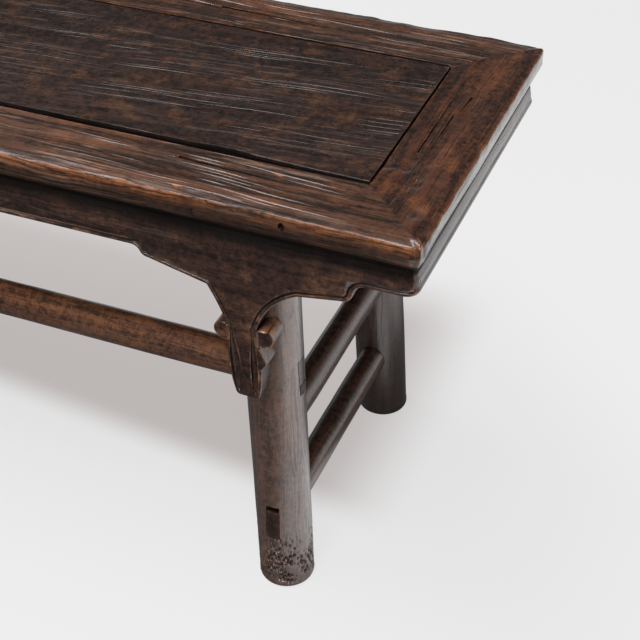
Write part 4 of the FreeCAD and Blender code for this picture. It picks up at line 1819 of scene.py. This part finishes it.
@dataclass
class Legs:
    """Four splayed round legs with through mortises for the stretchers."""

    axis: LegAxis
    sides: int = 72
    foot_round: float = 0.007
    tenon_gap: float = 0.0005
    worm_height: float = 0.078

    def blank(self) -> Piece:
        """Makes the front right leg as a turned bar with a rounded foot, cut level."""
        low = self.axis.at(-0.004)
        high = self.axis.at(Level.SEAT)
        piece = rod("leg_turned_front_right", low, high, self.axis.radius, self.sides)
        saw(piece, Vector((0, 0, 0)), -UP)
        saw(piece, Vector((0, 0, Level.RAIL_UNDERSIDE)), UP)
        pick_edges(piece, lambda first, second: max(first.z, second.z) < 0.0005)
        bpy.ops.mesh.bevel(offset=self.foot_round, segments=5, affect="EDGES")
        leave()
        divide(piece, self.axis.at(1) - self.axis.at(0), (12, 12), 0.2)
        pick_faces(piece, lambda centre, normal: 0.001 < centre.z < self.worm_height)
        bpy.ops.mesh.subdivide(number_cuts=2)
        leave()
        return piece

    def joints(self, piece: Piece, corner: tuple[int, int]) -> None:
        """Cuts the mortises and wedge slots of a leg.

        Args:
            piece: Leg at that corner.
            corner: Signs of the corner along X and Y.
        """
        grow = self.tenon_gap
        tenons = Tenons(self.axis)
        for tool in (
            tenons.side(Level.LOWER_SIDE, grow),
            tenons.long(grow),
            tenons.wedge_room(grow),
            tenons.open_slot(),
        ):
            cut(piece, flip(tool, corner))

    @staticmethod
    def above_floor(point: Vector) -> float:
        """Keeps the wear off the face that stands on the floor."""
        return min(1.0, max(0.0, point.z - 0.004) / 0.006)

    def wormy(self, point: Vector) -> float:
        """Gives the share of worm holes, which thin out above the foot."""
        patch = min(1.0, max(0.0, 0.8 + 1.8 * noise.noise(point * 60)))
        height = min(1.0, max(0.0, 1.7 - 1.7 * point.z / self.worm_height))
        return self.above_floor(point) * patch * height

    def build(self, coats: Coats) -> None:
        """Makes, wears and dresses the legs."""
        first = self.blank()
        legs = {"front_right": first}
        for name, corner in CORNERS.items():
            if name not in legs:
                legs[name] = mirrored(first, f"leg_turned_{name}", corner)
        for name, piece in legs.items():
            at_front = name.startswith("front")
            weather(piece, Relief(with_grain(UP, 0.12, 0.03), 0.0009), self.above_floor)
            weather(piece, Relief(with_grain(UP, 0.09, 0.006), 0.0005), self.above_floor)
            if at_front:
                pits = Relief(with_grain(UP, 0.007, 0.003), 0.0055, Pattern.PITS, 0.15, 0.6)
                weather(piece, pits, self.wormy)
            self.joints(piece, CORNERS[name])
            # Back legs take the shaded copy of the leg lacquer, which paints the shade under the seat.
            hand_over(piece, f"leg_{name}", coats["legs" if at_front else "shaded_back_legs"], 40.0)


@dataclass
class Stretchers:
    """Oval bars: one along each side and two across each end, tenoned through the legs."""

    axis: LegAxis
    height: float = 0.040
    long_width: float = 0.033
    side_width: float = 0.031
    sides: int = 48
    leg_sides: int = 72
    flush: float = 0.0006
    bite: float = 0.001

    def bar(self, name: str, start: Vector, end: Vector, width: float) -> Piece:
        """Makes an oval bar along X or Y.

        Args:
            name: Name of the bar.
            start: Middle of one end.
            end: Middle of the other end.
            width: Its level width.

        Returns:
            The bar, divided along its length.
        """
        run = end - start
        along = abs(run.x) > abs(run.y)
        bpy.ops.mesh.primitive_cylinder_add(
            vertices=self.sides,
            radius=0.5,
            depth=1.0,
            location=(start + end) / 2,
            rotation=(0, math.pi / 2, 0) if along else (math.pi / 2, 0, 0),
            scale=(self.height, width, run.length) if along else (width, self.height, run.length),
        )
        piece = fresh(name)
        divide(piece, ALONG if along else ACROSS, (15, 11) if along else (9, 7), 0.1)
        return piece

    def leg(self, inset: float) -> Piece:
        """Makes the round of the front right leg, smaller by an inset, as a tool."""
        low, high = self.axis.at(0), self.axis.at(0.5)
        return rod("leg_round", low, high, self.axis.radius - inset, self.leg_sides)

    def add_tenon(self, piece: Piece, tenon: Piece, way: tuple[int, int]) -> None:
        """Trims a tenon flush with the leg, moves it to another corner and fuses it with a bar."""
        combine(tenon, self.leg(self.flush), "INTERSECT")
        combine(piece, flip(tenon, way), "UNION")

    def cope(self, piece: Piece, corners: Sequence[tuple[int, int]]) -> None:
        """Hollows the ends of a bar to the legs at these corners."""
        for corner in corners:
            cut(piece, flip(self.leg(self.bite), corner))

    def build(self, coats: Coats) -> None:
        """Makes, wears and dresses the stretchers."""
        tenons = Tenons(self.axis)
        centre = self.axis.at(Level.LONG_STRETCHER)
        start = Vector((-centre.x, centre.y, centre.z))
        front = self.bar("stretcher_long_front", start, centre, self.long_width)
        back = mirrored(front, "stretcher_long_back", (1, -1))
        for piece, node, way in ((front, "stretcher_front", 1), (back, "stretcher_back", -1)):
            self.wear(piece, ALONG)
            self.cope(piece, ((1, way), (-1, way)))
            for side in (1, -1):
                self.add_tenon(piece, tenons.long(0.0), (side, way))
            hand_over(piece, node, coats["stretchers"])
        for level_name, level in (("lower", Level.LOWER_SIDE), ("upper", Level.UPPER_SIDE)):
            centre = self.axis.at(level)
            end = Vector((centre.x, -centre.y, centre.z))
            right = self.bar(f"stretcher_side_right_{level_name}", centre, end, self.side_width)
            left = mirrored(right, f"stretcher_side_left_{level_name}", (-1, 1))
            for piece, side_name, side in ((right, "right", 1), (left, "left", -1)):
                self.wear(piece, ACROSS)
                self.cope(piece, ((side, 1), (side, -1)))
                if level_name == "lower":
                    for way in (1, -1):
                        self.add_tenon(piece, tenons.side(level, 0.0), (side, way))
                node = f"side_stretcher_{side_name}_{level_name}"
                hand_over(piece, node, coats["side_stretchers"])

    @staticmethod
    def wear(piece: Piece, run: Vector) -> None:
        """Wears a bar: slow waves and grain hollows."""
        weather(piece, Relief(with_grain(run, 0.1, 0.03), 0.0014))
        weather(piece, Relief(with_grain(run, 0.08, 0.006), 0.0005))


@dataclass
class SmallJoinery:
    """Battens and wedges, whose plain shapes stay as they are, and worn pegs."""

    peg_radius: float = 0.0022
    peg_length: float = 0.024
    peg_wear: float = 0.0016

    def pegs(self, finish: bpy.types.Material) -> None:
        """Makes and dresses the pegs of the apron mitres, worn back with the aprons."""
        _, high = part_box("apron_pegs")
        outer = high.x - self.peg_wear
        pegs = [
            rod("mitre_pegs", start, end, self.peg_radius, 16)
            for start, end in zip(peg_spots(outer), peg_spots(outer - self.peg_length))
        ]
        hand_over(join(pegs), "apron_pegs", finish)

    def build(self, coats: Coats) -> None:
        """Makes the pegs and gives the battens and wedges their finish."""
        self.pegs(coats["pegs_and_wedges"])
        nodes = {"stretcher_wedges": "pegs_and_wedges"}
        for batten in ("left", "centre", "right"):
            nodes[f"panel_batten_{batten}"] = "hidden_wood"
        for name, slot in nodes.items():
            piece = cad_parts[name]
            piece.data.materials.clear()
            piece.data.materials.append(coats[slot])
            log.info("%s: dressed", name)


@dataclass
class Studio:
    """Camera, floor and soft light."""

    eye: tuple[float, float, float] = (0.8823, -1.0751, 1.1386)
    yaw: float = 0.398
    pitch: float = 0.666
    roll: float = -0.011
    lens: float = 80.5
    paper_front: float = 0.73
    paper_back: float = 0.737
    paper_shade: float = 0.1
    paper_bounce: Colour = (0.22, 0.215, 0.21, 1.0)
    paper_tint: Colour = (1.0, 0.998, 0.998, 1.0)
    # Tint of the shadow painted on the floor under the bench.
    painted_shadow_tint: Colour = (0.66, 0.615, 0.605, 1.0)
    glow_beside: float = 1.3
    glow_further: float = 1.45
    glow_behind: tuple[float, float] = (0.7, 1.0)
    glow_least: float = 0.1

    def build(self) -> None:
        """Sets up the camera, the floor, the lamps and the world."""
        self.camera()
        self.floor()
        self.lamp("key", (-0.3, -0.5, 3.6), (0.2, 0.0, 0.3), (4.2, 0.9), 178.0)
        self.lamp("side_fill", (2.0, -2.9, 1.8), (0.35, 0.0, 0.3), (1.6, 1.3), 20.0)
        self.lamp("front_fill", (0.45, -3.1, 1.4), (0.35, 0.0, 0.3), (0.7, 1.2), 30.0)
        self.world()
        bpy.context.scene.view_settings.view_transform = "Standard"

    def camera(self) -> None:
        """Places the camera at the photograph's viewpoint."""
        data = bpy.data.cameras.new("camera")
        data.lens = self.lens
        data.sensor_width = 36.0
        camera = bpy.data.objects.new("camera", data)
        bpy.context.scene.collection.objects.link(camera)
        camera.matrix_world = (
            Matrix.Translation(self.eye)
            @ Matrix.Rotation(self.yaw, 4, "Z")
            @ Matrix.Rotation(math.pi / 2 - self.pitch, 4, "X")
            @ Matrix.Rotation(self.roll, 4, "Z")
        )
        bpy.context.scene.camera = camera

    def floor(self) -> None:
        """Lays the pale floor, with a shadow painted under the bench, and clear from below."""
        bpy.ops.mesh.primitive_plane_add(size=30.0, location=(0, 0, 0))
        floor = fresh("floor")
        made = bpy.data.materials.new("floor_paper")
        made.use_nodes = True
        nodes = made.node_tree.nodes
        nodes.remove(nodes["Principled BSDF"])
        tree = Tree(made.node_tree)
        path = tree.node("LightPath", {}).outputs
        place = tree.node("TexCoord", {}).outputs["Object"]
        x, y = tree.part(place, "X"), tree.part(place, "Y")
        bounced = tree.node("BsdfDiffuse", {"Color": self.paper_bounce}).outputs[0]
        glow = tree.node("Emission", {"Strength": self.mirrored_glow(tree, x, y)}).outputs[0]
        unseen = tree.blend(path["Is Glossy Ray"], bounced, glow)
        seen = self.seen_paper(tree, x, y)
        whole = tree.blend(path["Is Camera Ray"], unseen, seen)
        below = tree.node("NewGeometry", {}).outputs["Backfacing"]
        clear = tree.node("BsdfTransparent", {}).outputs[0]
        tree.link(tree.blend(below, whole, clear), nodes["Material Output"].inputs["Surface"])
        floor.data.materials.append(made)

    def mirrored_glow(self, tree: Tree, x: Socket, y: Socket) -> Socket:
        """Gives the light that the lacquer mirrors: bright beside and behind the bench, dim under it."""
        beside = tree.fit(x, 0.42, 0.56, 0.0, self.glow_beside)
        beside = tree.times(beside, tree.fit(y, -0.02, 0.12, 1.0, 0.0))
        beside = tree.times(beside, tree.fit(y, -0.45, -0.25))
        further = tree.times(tree.fit(x, 0.6, 0.75, 0.0, self.glow_further), tree.fit(y, -0.6, -0.3))
        behind = tree.times(tree.fit(y, 0.42, 0.62), tree.fit(x, -0.2, 0.5, *self.glow_behind))
        return tree.most(tree.most(tree.most(beside, further), behind), self.glow_least)

    def seen_paper(self, tree: Tree, x: Socket, y: Socket) -> Socket:
        """Gives the floor as the camera sees it: the lamps' faint shadows and a soft shadow painted under
        the bench.
        """
        paper = tree.fit(y, -0.4, 1.2, self.paper_front, self.paper_back)
        # Painted shadow: a soft box under the bench where the paper is darker and warmer.
        under = tree.fit(tree.plus(y, tree.times(x, 0.1)), -0.02, 0.035)
        under = tree.times(under, tree.fit(y, 0.42, 0.28))
        under = tree.times(under, tree.fit(x, 0.545, 0.41))
        under = tree.times(under, tree.fit(x, -0.545, -0.41))
        tint = tree.mix(under, self.paper_tint, self.painted_shadow_tint)
        shaded = tree.node("BsdfDiffuse", {"Color": (self.paper_shade,) * 3 + (1.0,)}).outputs[0]
        bright = tree.node("Emission", {"Color": tint, "Strength": paper}).outputs[0]
        return tree.node("AddShader", {0: shaded, 1: bright}).outputs[0]

    @staticmethod
    def lamp(
        name: str, place: Sequence[float], aim: Sequence[float], size: tuple[float, float], power: float
    ) -> None:
        """Hangs a broad soft lamp.

        Args:
            name: Name of the lamp.
            place: Where it hangs.
            aim: Point that it faces.
            size: Its length along the bench and its breadth.
            power: Its power in watts.
        """
        data = bpy.data.lights.new(name, "AREA")
        data.shape = "RECTANGLE"
        data.size, data.size_y = size
        data.energy = power
        lamp = bpy.data.objects.new(name, data)
        bpy.context.scene.collection.objects.link(lamp)
        lamp.location = place
        lamp.rotation_euler = (Vector(aim) - Vector(place)).to_track_quat("-Z", "Y").to_euler()

    @staticmethod
    def world() -> None:
        """Lights the room dimly, with a bright side at the right and back, before a pale backdrop."""
        world = bpy.data.worlds.new("room")
        bpy.context.scene.world = world
        world.use_nodes = True
        tree = Tree(world.node_tree)
        path = tree.node("LightPath", {}).outputs
        way = tree.node("TexCoord", {}).outputs["Generated"]
        window = tree.node("VectorMath", {0: way, 1: (0.5, 0.86, 0.0)}, operation="DOT_PRODUCT")
        side = tree.fit(window.outputs["Value"], 0.2, 0.9)
        room = tree.times(side, tree.fit(tree.part(way, "Z"), 0.0, 0.35, 0.8, 0.0))
        room = tree.plus(room, 0.05)
        backdrop = tree.times(path["Is Camera Ray"], 0.83)
        background = world.node_tree.nodes["Background"]
        background.inputs["Color"].default_value = (1.0, 0.99, 0.985, 1.0)
        tree.link(tree.most(backdrop, room), background.inputs["Strength"])


def finishes() -> Coats:
    """Builds the finishes of the bench.

    Returns:
        Materials by the kind of piece that they dress.
    """
    worn = srgb(142, 90, 54)
    apron_dark = srgb(22, 13, 10)
    apron_brown = srgb(73, 47, 37)
    bar_dark = srgb(42, 25, 18)
    bar_brown = srgb(112, 75, 56)
    quiet = {"ridge": 0.1, "bump": 0.35, "pores": 0.3, "speckle": 0.55}
    # The level bands given below are painted shade: under the rails, on the tops of the aprons and in the
    # panel's gap.
    made = {
        "seat_rails": WoodFinish(
            "seat_rail_lacquer", GrainRun.ALONG, srgb(28, 17, 12), srgb(91, 60, 45), srgb(192, 118, 68),
            pores=0.75, ridge=0.35, bump=0.4, rubbed=0.16, speckle=0.3, coat=0.5,
            bared=(0.05, 0.82), painted_shade_band=(0.4505, 0.457),
        ),
        "end_rails": WoodFinish(
            "end_rail_lacquer", GrainRun.ACROSS, srgb(23, 12, 9), srgb(78, 46, 32), srgb(146, 88, 48),
            ridge=0.1, bump=0.4, rubbed=0.4, speckle=0.5, coat=0.85, corner_shade=0.6,
            bared=(0.5, 0.97), painted_shade_band=(0.4505, 0.4545),
        ),
        "seat_panel": WoodFinish(
            "seat_panel_lacquer", GrainRun.ALONG, srgb(13, 8, 8), srgb(54, 36, 30), srgb(100, 65, 40),
            tilt=-0.09, ridge=0.15, rubbed=0.6, roughness=0.37, speckle=0.66, bump=0.35, coat=0.3,
            blotch=34.0, painted_shade_band=(0.4742, 0.4754),
        ),
        "aprons": WoodFinish(
            "apron_lacquer", GrainRun.ALONG, apron_dark, apron_brown, srgb(164, 116, 86),
            rubbed=0.4, roughness=0.42, wear=1.0, wear_start=0.53, painted_shade_band=(0.4425, 0.425), **quiet,
        ),
        "end_aprons": WoodFinish(
            "end_apron_lacquer", GrainRun.ACROSS, apron_dark, apron_brown, worn,
            painted_shade_band=(0.4435, 0.438), coat=0.6, **quiet,
        ),
        "legs": WoodFinish(
            "leg_lacquer", GrainRun.UPRIGHT, srgb(58, 41, 34), srgb(112, 80, 66), srgb(130, 84, 56),
            wear_start=0.6, gloss=1.0, coat=1.0, **quiet,
        ),
        # Shaded copy of the leg lacquer: darker colours and less coat are painted shade under the seat on
        # the back legs.
        "shaded_back_legs": WoodFinish(
            "back_leg_lacquer_shaded", GrainRun.UPRIGHT, srgb(32, 20, 15), srgb(74, 48, 37), srgb(112, 70, 46),
            wear_start=0.6, gloss=1.0, coat=0.5, **quiet,
        ),
        "stretchers": WoodFinish(
            "stretcher_lacquer", GrainRun.ALONG, bar_dark, bar_brown, worn,
            wear_start=0.6, bared=(0.3, 1.1), **quiet,
        ),
        "side_stretchers": WoodFinish(
            "side_stretcher_lacquer", GrainRun.ACROSS, bar_dark, bar_brown, worn,
            wear_start=0.6, **quiet,
        ),
        "hidden_wood": WoodFinish(
            "batten_wood", GrainRun.ACROSS, srgb(40, 23, 15), srgb(74, 44, 28), srgb(100, 64, 40),
            wear=0.0, roughness=0.5, ends=0.1, **quiet,
        ),
        "pegs_and_wedges": WoodFinish(
            "end_grain", GrainRun.ALONG, srgb(34, 20, 14), srgb(66, 38, 24), worn,
            stretch=0.3, wear=0.0, **quiet,
        ),
    }
    return {slot: finish.material() for slot, finish in made.items()}


def main() -> None:
    """Builds the bench, sub-assembly by sub-assembly, and sets up the studio."""
    logging.basicConfig(level=logging.INFO, format="%(name)s: %(message)s")
    coats = finishes()
    axis = LegAxis()
    SeatFrame().build(coats)
    SeatPanel().build(coats["seat_panel"])
    Aprons(axis).build(coats)
    Legs(axis).build(coats)
    Stretchers(axis).build(coats)
    SmallJoinery().build(coats)
    Studio().build()


if __name__ == "__main__":
    main()
